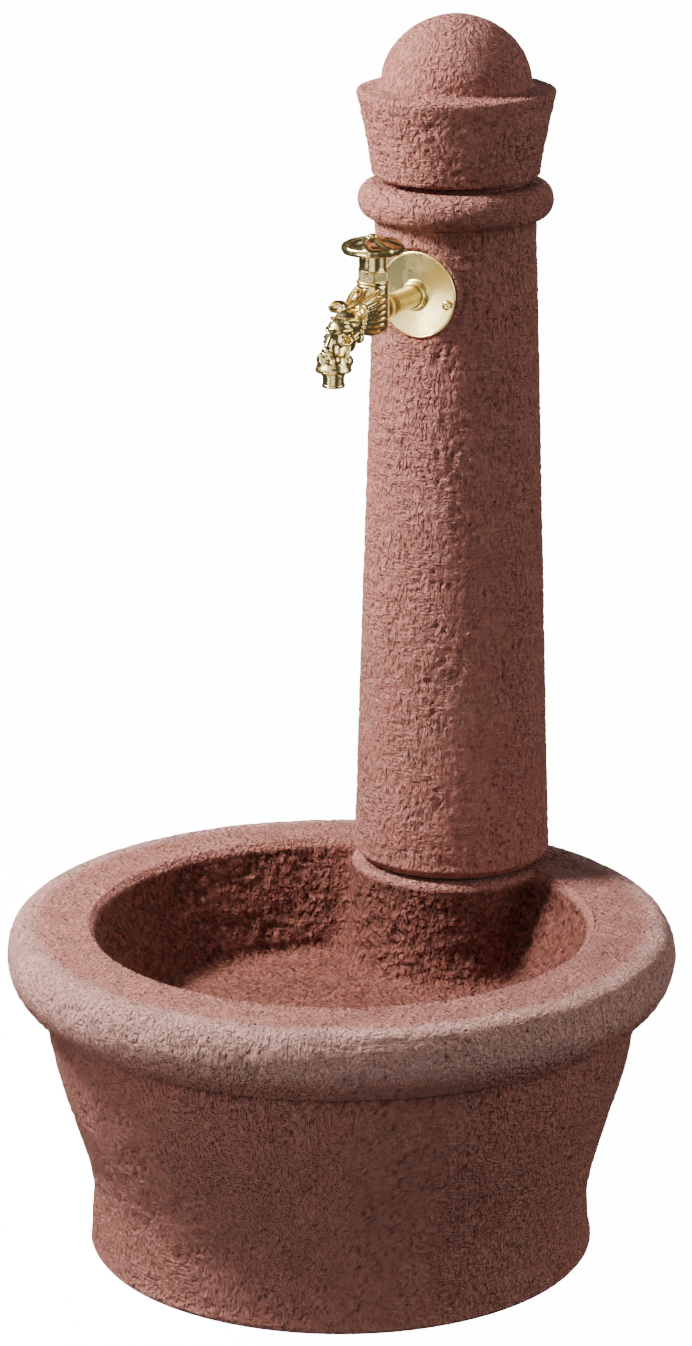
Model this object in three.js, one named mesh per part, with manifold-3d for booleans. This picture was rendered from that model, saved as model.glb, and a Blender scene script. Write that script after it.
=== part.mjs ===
// A free-standing drinking fountain for a garden or a yard: a round stone basin, a tapered stone column
// with a domed cap, and a brass tap with an animal's head for a spout, fed by a pipe inside the column.
//
// Millimetres, +Z up. The tap faces -Y, and the origin is the middle of the basin's foot, on the ground.

import * as THREE from 'three';
import { mergeVertices } from 'three/addons/utils/BufferGeometryUtils.js';
import Module from 'manifold-3d';

const wasm = await Module();
wasm.setup();

// ---- Clearances ----
const GAP = 0.3; // between faces that touch
const PIN_PLAY = 0.4; // around a pin or a thread in its hole
const OVERCUT = 8; // how far a cutting shape runs past the face that it opens

// ---- Sides of the round shapes ----
const BASIN_SIDES = 48;
const COLUMN_SIDES = 36;
const RING_SIDES = 24; // fittings from about 20 to 80 across
const BORE_SIDES = 16;
const PIN_SIDES = 12;

// ---- Basin ----
const RIM_RADIUS = 305;
const BASIN_HEIGHT = 306.5;
const LIP_WIDTH = 76; // flat top, from the mouth of the bowl to the rim's edge
const LIP_CHAMFER = 6.5;
const RIM_DEPTH = 63.5; // from the top down to the seam under the rim
const RIM_OVERHANG = 18; // the underside of the rim starts this far inside its edge
const RIM_WIDEST_DROP = 30; // the rim is widest this far below its top
const RIM_EDGE_ROUND = 21;
const SEAM_STEP = 5; // small ledge where the body meets the rim
const SEAM_RISE = 7;
const RIM_BELLY = [4, 9]; // pull of the curve under the rim: in from its edge, up from the seam
const BODY_INSET = 33; // the top of the body is this far inside the rim's edge
const BODY_LOW_PULL = [3, 0.3]; // the body's curve above the foot: out, and share of the way up
const BODY_HIGH_PULL = [7, 0.54]; // and under the seam: in, and share of the way up
const FOOT_INSET = 74;
const FOOT_HEIGHT = 50;
const FOOT_TAPER = 2;
const FOOT_EDGE = 3;
const FOOT_RING_WIDTH = 46; // wall at the floor, around the hollow underside
const BOWL_DEPTH = 102.5;
const BOWL_FALL = 4; // the bowl's floor drops this much towards its middle
const BOWL_BATTER = 39; // the mouth of the bowl is this much wider, in radius, than its floor
const BOWL_FILLET = 12;
const SLAB_THICKNESS = 44; // stone under the bowl's middle
const CAVITY_TAPER = 7;
const CAVITY_FILLET = 13;

// ---- Pedestal, which rises from the bowl and carries the column ----
const PEDESTAL_MARGIN = 2; // its top stands this far outside the column's foot
const PEDESTAL_FLARE = 13;
const PEDESTAL_FLARE_HEIGHT = 12;
const PEDESTAL_ROUND = 9;
const EDGE_MARGIN = 1; // the column's foot stays this far inside the rim's edge

// ---- Column ----
const COLUMN_HEIGHT = 641.5;
const COLUMN_FOOT_RADIUS = 92;
const COLUMN_CHAMFER = 8;
const COLUMN_NECK_RADIUS = 74.2;
const COLLAR_REACH = 15.4; // the round collar stands this far out of the neck
const COLLAR_HEIGHT = 32;
const COLLAR_COVE = 5.5; // height of the hollow under the collar
const COLLAR_COVE_REACH = 2; // and how far it comes out of the neck
const SEAT_RADIUS = 64; // raised seat that the cap rests on
const SEAT_HEIGHT = 2.5;
const BORE_RADIUS = 46;
const BED_THICKNESS = 3; // joint between two stones
const SEAL_INSET = 4; // the seals stay this far inside the edges that they lie between
const DOWEL_RADIUS = 6;
const DOWEL_DEPTH = 36; // in each stone

// ---- Cap ----
const CAP_FOOT_RADIUS = 77;
const CAP_FOOT_ROUND = 3;
const CAP_RADIUS = 91;
const CAP_FLARE_HEIGHT = 75;
const CAP_FLARE_PULL = 5; // the flare's curve, out from its foot
const CAP_EDGE_ROUND = 5;
const DOME_RADIUS = 69;
const DOME_HEIGHT = 64;
const CAP_SPIGOT_LENGTH = 20;
const CAP_SHOULDER_FALL = 2; // the ledge around the dome drops this much towards its edge
const SPIGOT_PLAY = 2;
const SPIGOT_CHAMFER = 2;

// ---- Rosette, on a flat round boss of the column ----
const TAP_DROP = 94; // the pipe's centre is this far below the top of the column
const BOSS_MARGIN = 2.5; // the boss is this much wider, in radius, than the rosette
const BOSS_SET_BACK = 4; // the boss's face is this far behind the front of the column
const ROSETTE_RADIUS = 39.5;
const ROSETTE_EDGE = 2;
const ROSETTE_CROWN = 1.6;
const HUB_REACH = 7;
const HUB_WALL = 1.8;
const SCREW_INSET = 7; // from the rosette's edge
const SCREW_TILT = THREE.MathUtils.degToRad(11.5);
const SCREW_RADIUS = 1.6;
const SCREW_HEAD_RADIUS = 4.2;
const SCREW_HEAD_HEIGHT = 2.2;
const SCREW_LENGTH = 22;
const SCREW_TIP = 3;
const HEAD_ROUND = 0.6; // flat middle of a round screw head, as a share of its radius
const PLUG_RADIUS = 3;
const PLUG_LENGTH = 24;

// ---- Plumbing inside the stone ----
const SHANK_RADIUS = 10;
const SHANK_BORE = 6;
const SHANK_PLAY = 1; // in the rosette, and twice that in the stone
const SADDLE_THICKNESS = 8;
const SADDLE_MARGIN = 3; // the saddle block reaches this far past the nut's corners
const NUT_WALL = 6;
const NUT_LENGTH = 8;
const FITTING_WALL = 4;
const FITTING_BORE = 6;
const PIPE_RADIUS = 7.5;
const PIPE_BORE = 6;
const PIPE_SOCKET = 16; // how deep the pipe sits in a fitting
const SHANK_STOP = 13; // the shank ends this far before the pipe's axis
const DUCT_RADIUS = 18;
const POCKET_HALF_WIDTH = 26;
const POCKET_BACK = 22; // behind the column's axis
const POCKET_REACH = 117; // in front of the column's axis
const POCKET_RISE = 30; // above the ceiling of the hollow underside
const POCKET_SINK = 20; // below it
const INLET_RISE = 8; // the inlet's axis is this far above that ceiling
const INLET_LENGTH = 28; // from the pipe's axis to the mouth of the inlet elbow
const UNION_NUT_LENGTH = 12;
const UNION_TAIL = 18;

// ---- Tap ----
const TAP_REACH = 82.7; // from the rosette's boss to the tap's upright axis
const BARREL_RADIUS = 14.4;
const BARREL_TOP = 26; // above the pipe's centre
const BARREL_BOTTOM = 21; // below it
const INLET_REACH = 34.5; // from the tap's axis back to its inlet ring
const INLET_RING = 4;
const INLET_WALL = 3; // brass around the shank's thread
const INLET_BEAD = 2.5; // the ring stands this far out of the inlet
const INLET_DROP = 1.5; // the waterway to the valve is this far below the pipe's centre
const BARREL_ROUND = 13; // height of the barrel's rounded bottom
const SHANK_GRIP = 10; // thread engaged in the tap's inlet
const SEAT_RISE = 5; // valve seat above the pipe's centre
const SEAT_BORE = 5;
const CHAMBER_RADIUS = 9.5;
const WATERWAY = 4.5;
const HEAD_RADIUS = 13.5;
const NOZZLE_RADIUS = 10.3;
const NOZZLE_LENGTH = 12;
const NOZZLE_SPIGOT = 7;
const NOZZLE_WALL = 3.6;
const NOZZLE_STEP = 2; // the spigot is this much thinner, in radius
const NOZZLE_CHAMFER = 0.8;

// The middle line of the tap's head, forwards and up from the tap's axis at the pipe's height.
const HEAD_PLACES = [
  [0, 8], [-9, 1], [-21, -4], [-41, -7.5], [-57, -13], [-66, -22], [-70.5, -32], [-70.6, -42],
];
// The middle line of the waterway, from the valve's chamber to below the mouth.
const WATERWAY_PLACES = [
  [-5.5, 12.5], [-21, 0], [-41, -6.5], [-57, -12], [-66, -22], [-70.6, -33], [-70.6, -60],
];
// The masses added to the head: each one's middle and half sizes across, forwards and up.
const HEAD_MASSES = {
  brow: [[0, -62, -12], [13.5, 14, 15]],
  muzzle: [[0, -74, -24], [11.5, 9, 14]],
  leftEar: [[-13, -46, 6], [7, 6, 9]],
  rightEar: [[13, -46, 6], [7, 6, 9]],
  jowl: [[0, -24, -16], [9, 8, 8]],
};
const LIP_RADIUS = 15; // of the lips around the mouth
const LIP_FLARE = 1;
const LIP_HEIGHT = 11;

// ---- Headwork: bonnet, spindle, valve and handle ----
const GASKET_THICKNESS = 1;
const HEX_RADIUS = 15;
const HEX_HEIGHT = 10.4;
const NECK_RADIUS = 12.7;
const NECK_HEIGHT = 14;
const BONNET_SPIGOT = 7.5;
const SPINDLE_RADIUS = 4;
const SPINDLE_PLAY = 0.3;
const GLAND_RADIUS = 7.7;
const GLAND_HEIGHT = 5.7;
const PACKING_HEIGHT = 5.4;
const JUMPER_RADIUS = 7.5;
const JUMPER_THICKNESS = 3;
const JUMPER_STEM = 2.2;
const JUMPER_STEM_LENGTH = 9;
const WASHER_THICKNESS = 2;
const HANDLE_RADIUS = 28.5;
const HANDLE_LIFT = 0.6; // under the handle, when the valve is shut
const HANDLE_EDGE = 6;
const HANDLE_HEIGHT = 14.5;
const HANDLE_HUB_RADIUS = 8;
const HANDLE_HUB_DEPTH = 8.5;
const HANDLE_UNDERCUT = 7; // the handle's underside is this much smaller, in radius
const HANDLE_CROWN_PULL = [4, 3]; // pull of the crown's curve: in from the edge, down from the top
const HANDLE_PETALS = 8;
const PETAL_DEPTH = 1.4;
const HANDLE_SCREW_RADIUS = 2;
const HANDLE_SCREW_HEAD = 4.6;
const HANDLE_SCREW_HEIGHT = 2.8; // of its head
const HANDLE_SCREW_LENGTH = 11;

// ---- Drain ----
const DRAIN_FORWARD = 75; // in front of the basin's middle
const DRAIN_BORE = 24;
const DRAIN_FLANGE = 38;
const DRAIN_RECESS = 6.5;
const DRAIN_SEAL_THICKNESS = 1.5;
const DRAIN_FLANGE_THICKNESS = 2.4;
const DRAIN_TUBE_RADIUS = 22;
const DRAIN_TUBE_WALL = 3;
const DRAIN_TAIL = 24; // tube left below the slab
const DRAIN_NUT_RADIUS = 32;
const DRAIN_NUT_HEIGHT = 8;
const DRAIN_NUT_SIDES = 8;
const DRAIN_WASHER_THICKNESS = 2.5;
const DRAIN_BAR = 4; // half the width of the bar that takes the grating's screw
const DRAIN_BAR_DROP = 8; // the bar's top is this far below the flange
const DRAIN_BAR_HEIGHT = 6;
const GRATING_RADIUS = 34;
const GRATING_THICKNESS = 2;
const GRATING_HOLES = 8;
const GRATING_HOLE_RADIUS = 4.5;
const GRATING_HOLE_CIRCLE = 21;
const DRAIN_SCREW_RADIUS = 2;
const DRAIN_SCREW_HEAD = 4;
const DRAIN_SCREW_HEIGHT = 1.8; // of its head
const DRAIN_SCREW_TIP = 3; // past the bar

// ---- Places worked out from the sizes ----
const SEAM_HEIGHT = BASIN_HEIGHT - RIM_DEPTH;
const MOUTH_RADIUS = RIM_RADIUS - LIP_WIDTH;
const BOWL_FLOOR = BASIN_HEIGHT - BOWL_DEPTH;
const SLAB_UNDERSIDE = BOWL_FLOOR - SLAB_THICKNESS;
const FOOT_RADIUS = RIM_RADIUS - FOOT_INSET;
const COLUMN_BACK = RIM_RADIUS - COLUMN_FOOT_RADIUS - EDGE_MARGIN;
const COLUMN_BOTTOM = BASIN_HEIGHT + BED_THICKNESS;
const COLUMN_TOP = COLUMN_BOTTOM + COLUMN_HEIGHT;
const CAP_BOTTOM = COLUMN_TOP + BED_THICKNESS;
const TAP_HEIGHT = COLUMN_TOP - TAP_DROP;
const NECK_TOP = COLUMN_TOP - SEAT_HEIGHT - COLLAR_HEIGHT - COLLAR_COVE;
const COLUMN_WIDE_HEIGHT = COLUMN_BOTTOM + COLUMN_CHAMFER;
const COLUMN_TAPER = (COLUMN_FOOT_RADIUS - COLUMN_NECK_RADIUS) / (NECK_TOP - COLUMN_WIDE_HEIGHT);
const FRONT_RADIUS = COLUMN_FOOT_RADIUS - COLUMN_TAPER * (TAP_HEIGHT - COLUMN_WIDE_HEIGHT);
const BOSS_FACE = -(FRONT_RADIUS - BOSS_SET_BACK); // from the column's axis
const BOSS_RADIUS = ROSETTE_RADIUS + BOSS_MARGIN;
const SCREW_CIRCLE = ROSETTE_RADIUS - SCREW_INSET;
const DOWEL_PLACE = (BORE_RADIUS + COLUMN_FOOT_RADIUS - COLUMN_CHAMFER) / 2;
const FITTING_RADIUS = SHANK_RADIUS + FITTING_WALL;
const SADDLE_FACE = -(BORE_RADIUS - SADDLE_THICKNESS);
const NUT_BACK = SADDLE_FACE + GAP + NUT_LENGTH;
const INLET_HEIGHT = SLAB_UNDERSIDE + INLET_RISE;
const SCREW_ACROSS = SCREW_CIRCLE * Math.cos(SCREW_TILT);
const SCREW_UP = SCREW_CIRCLE * Math.sin(SCREW_TILT);

// ---- Finishes ----
const STONE = { color: 0xc98f84, roughness: 0.9, metalness: 0 };
const BRASS = { color: 0xd6b45c, roughness: 0.25, metalness: 1 };
const STEEL = { color: 0xb9bcc0, roughness: 0.35, metalness: 1 };
const COPPER = { color: 0xb87350, roughness: 0.35, metalness: 1 };
const RUBBER = { color: 0x2a2a2a, roughness: 0.8, metalness: 0 };
const PLASTIC = { color: 0xb8b8b0, roughness: 0.6, metalness: 0 };

// ---- Joining and cutting ----

// The closed solid inside a geometry.
function solidOf(geometry) {
  const bare = geometry.clone();
  bare.deleteAttribute('normal');
  bare.deleteAttribute('uv');
  const merged = mergeVertices(bare, 1e-4);
  const corners = merged.index.array;
  const faces = [];
  for (let i = 0; i < corners.length; i += 3) {
    const [a, b, c] = [corners[i], corners[i + 1], corners[i + 2]];
    if (a !== b && b !== c && c !== a) faces.push(a, b, c);
  }
  return new wasm.Manifold(new wasm.Mesh({
    numProp: 3,
    vertProperties: Float32Array.from(merged.attributes.position.array),
    triVerts: Uint32Array.from(faces),
  }));
}

// The geometry of a solid.
function geometryOf(solid) {
  const { vertProperties, triVerts } = solid.getMesh();
  const geometry = new THREE.BufferGeometry();
  geometry.setAttribute('position', new THREE.BufferAttribute(vertProperties, 3));
  geometry.setIndex(new THREE.BufferAttribute(triVerts, 1));
  return geometry;
}

function join(first, ...others) {
  return geometryOf(others.reduce((whole, part) => whole.add(solidOf(part)), solidOf(first)));
}

function cut(first, ...tools) {
  return geometryOf(tools.reduce((whole, tool) => whole.subtract(solidOf(tool)), solidOf(first)));
}

function common(first, second) {
  return geometryOf(solidOf(first).intersect(solidOf(second)));
}

// ---- Basic shapes ----

// A solid of revolution about Z. The outline's points are [radius, height], up the outside first.
function turned(outline, sides) {
  const points = outline.map(([radius, height]) => new THREE.Vector2(radius, height));
  return new THREE.LatheGeometry(points, sides).rotateX(Math.PI / 2);
}

// The points of a path drawn in radius and height.
function pointsOf(path, divisions) {
  return path.getPoints(divisions).map((point) => [point.x, point.y]);
}

// An upright rod.
function rod(radius, low, high, sides) {
  return turned([[0, low], [radius, low], [radius, high], [0, high]], sides);
}

// An upright tube.
function tube(outer, inner, low, high, sides) {
  return turned([[inner, low], [outer, low], [outer, high], [inner, high], [inner, low]], sides);
}

// The same solids of revolution, with their height along +Y.
function alongY(geometry) {
  return geometry.rotateX(-Math.PI / 2);
}

// A six-sided nut without its hole; the radius is to its corners.
function hexagon(radius, low, high) {
  return rod(radius, low, high, 6);
}

function box(low, high) {
  const size = high.map((value, i) => value - low[i]);
  const middle = high.map((value, i) => (value + low[i]) / 2);
  return new THREE.BoxGeometry(...size).translate(...middle);
}

function ellipsoid(place, size) {
  return new THREE.SphereGeometry(1, 10, 6).scale(...size).translate(...place);
}

// A named piece with a finish of its own.
function piece(name, geometry, finish) {
  const mesh = new THREE.Mesh(geometryOf(solidOf(geometry)), new THREE.MeshStandardMaterial(finish));
  mesh.name = name;
  return mesh;
}

// ---- Basin ----

// The outside of the basin, filled to its axis.
function basinEnvelope() {
  const bodyTop = RIM_RADIUS - BODY_INSET;
  const footTop = FOOT_RADIUS - FOOT_TAPER;
  const rise = SEAM_HEIGHT - SEAM_RISE - FOOT_HEIGHT;
  const widest = BASIN_HEIGHT - RIM_WIDEST_DROP;
  const outline = new THREE.Path();
  outline.moveTo(0, 0);
  outline.lineTo(FOOT_RADIUS - FOOT_EDGE, 0);
  outline.lineTo(FOOT_RADIUS, FOOT_EDGE);
  outline.lineTo(footTop, FOOT_HEIGHT);
  outline.bezierCurveTo(
    footTop + BODY_LOW_PULL[0], FOOT_HEIGHT + BODY_LOW_PULL[1] * rise,
    bodyTop - BODY_HIGH_PULL[0], FOOT_HEIGHT + BODY_HIGH_PULL[1] * rise,
    bodyTop, SEAM_HEIGHT - SEAM_RISE,
  );
  outline.lineTo(RIM_RADIUS - RIM_OVERHANG - SEAM_STEP, SEAM_HEIGHT);
  outline.lineTo(RIM_RADIUS - RIM_OVERHANG, SEAM_HEIGHT);
  outline.quadraticCurveTo(RIM_RADIUS - RIM_BELLY[0], SEAM_HEIGHT + RIM_BELLY[1], RIM_RADIUS, widest);
  outline.quadraticCurveTo(RIM_RADIUS, BASIN_HEIGHT, RIM_RADIUS - RIM_EDGE_ROUND, BASIN_HEIGHT);
  outline.lineTo(0, BASIN_HEIGHT);
  return turned(pointsOf(outline, 6), BASIN_SIDES);
}

// The space inside the bowl, open above the rim.
function bowlSpace() {
  const floorRadius = MOUTH_RADIUS - BOWL_BATTER;
  const floorEdge = BOWL_FLOOR + BOWL_FALL;
  const outline = new THREE.Path();
  outline.moveTo(0, BOWL_FLOOR);
  outline.lineTo(floorRadius - BOWL_FILLET, floorEdge);
  outline.quadraticCurveTo(floorRadius, floorEdge, floorRadius, floorEdge + BOWL_FILLET);
  outline.lineTo(MOUTH_RADIUS - LIP_CHAMFER, BASIN_HEIGHT - LIP_CHAMFER);
  outline.lineTo(MOUTH_RADIUS + OVERCUT, BASIN_HEIGHT + OVERCUT);
  outline.lineTo(0, BASIN_HEIGHT + OVERCUT);
  return turned(pointsOf(outline, 3), BASIN_SIDES);
}

// The block that stands in the bowl under the column, with a flared foot and a rounded top edge.
function pedestal() {
  const topRadius = COLUMN_FOOT_RADIUS + PEDESTAL_MARGIN;
  const outline = new THREE.Path();
  outline.moveTo(0, SLAB_UNDERSIDE + GAP);
  outline.lineTo(topRadius + PEDESTAL_FLARE, SLAB_UNDERSIDE + GAP);
  outline.lineTo(topRadius + PEDESTAL_FLARE, BOWL_FLOOR + BOWL_FALL);
  outline.quadraticCurveTo(
    topRadius, BOWL_FLOOR + BOWL_FALL + PEDESTAL_FLARE_HEIGHT,
    topRadius, BASIN_HEIGHT - PEDESTAL_ROUND,
  );
  outline.quadraticCurveTo(topRadius, BASIN_HEIGHT, topRadius - PEDESTAL_ROUND, BASIN_HEIGHT);
  outline.lineTo(0, BASIN_HEIGHT);
  return turned(pointsOf(outline, 4), COLUMN_SIDES).translate(0, COLUMN_BACK, 0);
}

// The hollow under the basin.
function undersideSpace() {
  const wide = FOOT_RADIUS - FOOT_RING_WIDTH;
  const narrow = wide - CAVITY_TAPER;
  return turned([
    [0, -OVERCUT],
    [wide, -OVERCUT],
    [narrow, SLAB_UNDERSIDE - CAVITY_FILLET],
    [narrow - CAVITY_FILLET, SLAB_UNDERSIDE],
    [0, SLAB_UNDERSIDE],
  ], BASIN_SIDES);
}

// The pocket under the pedestal where the water supply comes in.
function inletPocket() {
  return box(
    [-POCKET_HALF_WIDTH, COLUMN_BACK - POCKET_REACH, SLAB_UNDERSIDE - POCKET_SINK],
    [POCKET_HALF_WIDTH, COLUMN_BACK + POCKET_BACK, SLAB_UNDERSIDE + POCKET_RISE],
  );
}

// Holes for the two dowels between the basin and the column.
function dowelHoles(low, high) {
  const hole = rod(DOWEL_RADIUS + PIN_PLAY, low, high, PIN_SIDES);
  return [-1, 1].map((side) => hole.clone().translate(side * DOWEL_PLACE, 0, 0));
}

function basin() {
  const bowl = cut(bowlSpace(), pedestal());
  const duct = rod(DUCT_RADIUS, SLAB_UNDERSIDE, BASIN_HEIGHT + OVERCUT, RING_SIDES);
  const dowels = dowelHoles(BASIN_HEIGHT - DOWEL_DEPTH - GAP, BASIN_HEIGHT + OVERCUT);
  dowels.forEach((hole) => hole.translate(0, COLUMN_BACK, 0));
  const drainHole = rod(DRAIN_BORE, SLAB_UNDERSIDE - OVERCUT, BASIN_HEIGHT, RING_SIDES);
  const drainRecess = rod(DRAIN_FLANGE + 2 * GAP, BOWL_FLOOR - DRAIN_RECESS, BASIN_HEIGHT, RING_SIDES);
  return cut(
    basinEnvelope(),
    bowl,
    undersideSpace(),
    inletPocket(),
    duct.translate(0, COLUMN_BACK, 0),
    ...dowels,
    drainHole.translate(0, -DRAIN_FORWARD, 0),
    drainRecess.translate(0, -DRAIN_FORWARD, 0),
  );
}

// ---- Column and cap, about the column's axis ----

function columnBody() {
  const collarMiddle = COLUMN_TOP - SEAT_HEIGHT - COLLAR_HEIGHT / 2;
  const collarInner = COLUMN_NECK_RADIUS + COLLAR_COVE_REACH;
  const outline = new THREE.Path();
  outline.moveTo(BORE_RADIUS, COLUMN_BOTTOM);
  outline.lineTo(COLUMN_FOOT_RADIUS - COLUMN_CHAMFER, COLUMN_BOTTOM);
  outline.lineTo(COLUMN_FOOT_RADIUS, COLUMN_WIDE_HEIGHT);
  outline.lineTo(COLUMN_NECK_RADIUS, NECK_TOP);
  outline.lineTo(collarInner, NECK_TOP + COLLAR_COVE);
  outline.absellipse(
    collarInner, collarMiddle,
    COLLAR_REACH - COLLAR_COVE_REACH, COLLAR_HEIGHT / 2,
    -Math.PI / 2, Math.PI / 2, false,
  );
  outline.lineTo(SEAT_RADIUS, COLUMN_TOP - SEAT_HEIGHT);
  outline.lineTo(SEAT_RADIUS, COLUMN_TOP);
  outline.lineTo(BORE_RADIUS, COLUMN_TOP);
  outline.lineTo(BORE_RADIUS, COLUMN_BOTTOM);
  return turned(pointsOf(outline, 5), COLUMN_SIDES);
}

// A round shape along Y at the tap's height, from one depth to another.
function tapWay(radius, near, far, sides) {
  return alongY(rod(radius, near, far, sides)).translate(0, 0, TAP_HEIGHT);
}

// Holes for the rosette's wall plugs.
function plugHoles() {
  const hole = tapWay(PLUG_RADIUS + GAP, BOSS_FACE - OVERCUT, BOSS_FACE + PLUG_LENGTH + GAP, PIN_SIDES);
  return [-1, 1].map((side) => hole.clone().translate(side * SCREW_ACROSS, 0, -side * SCREW_UP));
}

function column() {
  const boss = cut(
    tapWay(BOSS_RADIUS, BOSS_FACE, -BORE_RADIUS - GAP, RING_SIDES),
    rod(BORE_RADIUS, COLUMN_BOTTOM, COLUMN_TOP, COLUMN_SIDES),
  );
  return cut(
    join(columnBody(), boss),
    tapWay(BOSS_RADIUS + GAP, -COLUMN_FOOT_RADIUS - OVERCUT, BOSS_FACE, RING_SIDES),
    tapWay(SHANK_RADIUS + 2 * SHANK_PLAY, -COLUMN_FOOT_RADIUS, -BORE_RADIUS + OVERCUT, BORE_SIDES),
    ...plugHoles(),
    ...dowelHoles(COLUMN_BOTTOM - OVERCUT, COLUMN_BOTTOM + DOWEL_DEPTH + GAP),
  );
}

function cap() {
  const edgeHeight = CAP_BOTTOM + CAP_FLARE_HEIGHT;
  const domeBase = edgeHeight + CAP_EDGE_ROUND + CAP_SHOULDER_FALL;
  const spigotRadius = BORE_RADIUS - SPIGOT_PLAY;
  const outline = new THREE.Path();
  outline.moveTo(0, CAP_BOTTOM - CAP_SPIGOT_LENGTH);
  outline.lineTo(spigotRadius - SPIGOT_CHAMFER, CAP_BOTTOM - CAP_SPIGOT_LENGTH);
  outline.lineTo(spigotRadius, CAP_BOTTOM - CAP_SPIGOT_LENGTH + SPIGOT_CHAMFER);
  outline.lineTo(spigotRadius, CAP_BOTTOM);
  outline.lineTo(CAP_FOOT_RADIUS - CAP_FOOT_ROUND, CAP_BOTTOM);
  outline.lineTo(CAP_FOOT_RADIUS, CAP_BOTTOM + CAP_FOOT_ROUND);
  outline.quadraticCurveTo(
    CAP_FOOT_RADIUS + CAP_FLARE_PULL, CAP_BOTTOM + CAP_FLARE_HEIGHT / 2,
    CAP_RADIUS, edgeHeight,
  );
  const ledge = edgeHeight + CAP_EDGE_ROUND;
  outline.quadraticCurveTo(CAP_RADIUS, ledge, CAP_RADIUS - CAP_EDGE_ROUND, ledge);
  outline.lineTo(DOME_RADIUS, domeBase);
  outline.absellipse(0, domeBase, DOME_RADIUS, DOME_HEIGHT, 0, Math.PI / 2, false);
  return turned(pointsOf(outline, 4), COLUMN_SIDES);
}

// The seal between the basin and the column, with holes for the dowels.
function columnBedSeal() {
  const outer = COLUMN_FOOT_RADIUS - COLUMN_CHAMFER - SEAL_INSET;
  const ring = tube(outer, BORE_RADIUS + SEAL_INSET, BASIN_HEIGHT + GAP, COLUMN_BOTTOM - GAP, RING_SIDES);
  return cut(ring, ...dowelHoles(BASIN_HEIGHT - OVERCUT, COLUMN_BOTTOM + OVERCUT));
}

function capBedSeal() {
  const [outer, inner] = [SEAT_RADIUS - SEAL_INSET, BORE_RADIUS + SEAL_INSET];
  return tube(outer, inner, COLUMN_TOP + GAP, CAP_BOTTOM - GAP, RING_SIDES);
}

function dowel(side) {
  const low = BASIN_HEIGHT - DOWEL_DEPTH;
  return rod(DOWEL_RADIUS, low, COLUMN_BOTTOM + DOWEL_DEPTH, PIN_SIDES).translate(side * DOWEL_PLACE, 0, 0);
}

// ---- Plumbing, about the column's axis ----

// The threaded brass tube that carries the tap through the column.
function tapShank() {
  const near = BOSS_FACE - TAP_REACH + INLET_REACH - SHANK_GRIP;
  return alongY(tube(SHANK_RADIUS, SHANK_BORE, near, -SHANK_STOP, BORE_SIDES)).translate(0, 0, TAP_HEIGHT);
}

// The block that fits the round bore on one side and gives the nut a flat face on the other.
function saddleWasher() {
  const reach = SHANK_RADIUS + NUT_WALL + SADDLE_MARGIN;
  const block = box(
    [-reach, -BORE_RADIUS, TAP_HEIGHT - reach],
    [reach, SADDLE_FACE, TAP_HEIGHT + reach],
  );
  const bore = rod(BORE_RADIUS - GAP, TAP_HEIGHT - 2 * reach, TAP_HEIGHT + 2 * reach, COLUMN_SIDES);
  const way = tapWay(SHANK_RADIUS + GAP, -BORE_RADIUS - OVERCUT, SADDLE_FACE + OVERCUT, BORE_SIDES);
  return cut(common(block, bore), way);
}

function shankBacknut() {
  const nut = alongY(hexagon(SHANK_RADIUS + NUT_WALL, SADDLE_FACE + GAP, NUT_BACK));
  return cut(
    nut.translate(0, 0, TAP_HEIGHT),
    tapWay(SHANK_RADIUS + GAP, SADDLE_FACE - OVERCUT, NUT_BACK + OVERCUT, BORE_SIDES),
  );
}

// An elbow with one socket towards -Y and one upright socket, its corner on the column's axis.
// The upright leg points down when turn is -1 and up when it is 1.
function elbow(mouth, socketRadius, socketEnd, height, turn) {
  const low = Math.min(0, turn * (FITTING_RADIUS + PIPE_SOCKET));
  const high = Math.max(0, turn * (FITTING_RADIUS + PIPE_SOCKET));
  const solid = join(
    alongY(rod(FITTING_RADIUS, mouth, 0, BORE_SIDES)),
    rod(PIPE_RADIUS + FITTING_WALL, low, high, BORE_SIDES),
    ellipsoid([0, 0, 0], [FITTING_RADIUS, FITTING_RADIUS, FITTING_RADIUS]),
  );
  const pipeStart = Math.min(turn * (FITTING_RADIUS - GAP), turn * (FITTING_RADIUS + PIPE_SOCKET + OVERCUT));
  const pipeEnd = Math.max(turn * (FITTING_RADIUS - GAP), turn * (FITTING_RADIUS + PIPE_SOCKET + OVERCUT));
  const wayLow = Math.min(0, turn * FITTING_RADIUS);
  const wayHigh = Math.max(0, turn * FITTING_RADIUS);
  const hollow = [
    alongY(rod(socketRadius, mouth - OVERCUT, socketEnd, BORE_SIDES)),
    alongY(rod(FITTING_BORE, socketEnd - 1, 0, PIN_SIDES)),
    rod(PIPE_RADIUS + GAP, pipeStart, pipeEnd, BORE_SIDES),
    rod(FITTING_BORE, wayLow, wayHigh, PIN_SIDES),
    ellipsoid([0, 0, 0], [FITTING_BORE, FITTING_BORE, FITTING_BORE]),
  ];
  return cut(solid, ...hollow).translate(0, 0, height);
}

function tapElbow() {
  return elbow(NUT_BACK + GAP, SHANK_RADIUS + GAP, GAP - SHANK_STOP, TAP_HEIGHT, -1);
}

function inletElbow() {
  return elbow(-INLET_LENGTH, PIPE_RADIUS + GAP, PIPE_SOCKET - INLET_LENGTH, INLET_HEIGHT, 1);
}

function riserPipe() {
  const low = INLET_HEIGHT + FITTING_RADIUS;
  const high = TAP_HEIGHT - FITTING_RADIUS;
  return tube(PIPE_RADIUS, PIPE_BORE, low, high, BORE_SIDES);
}

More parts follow.
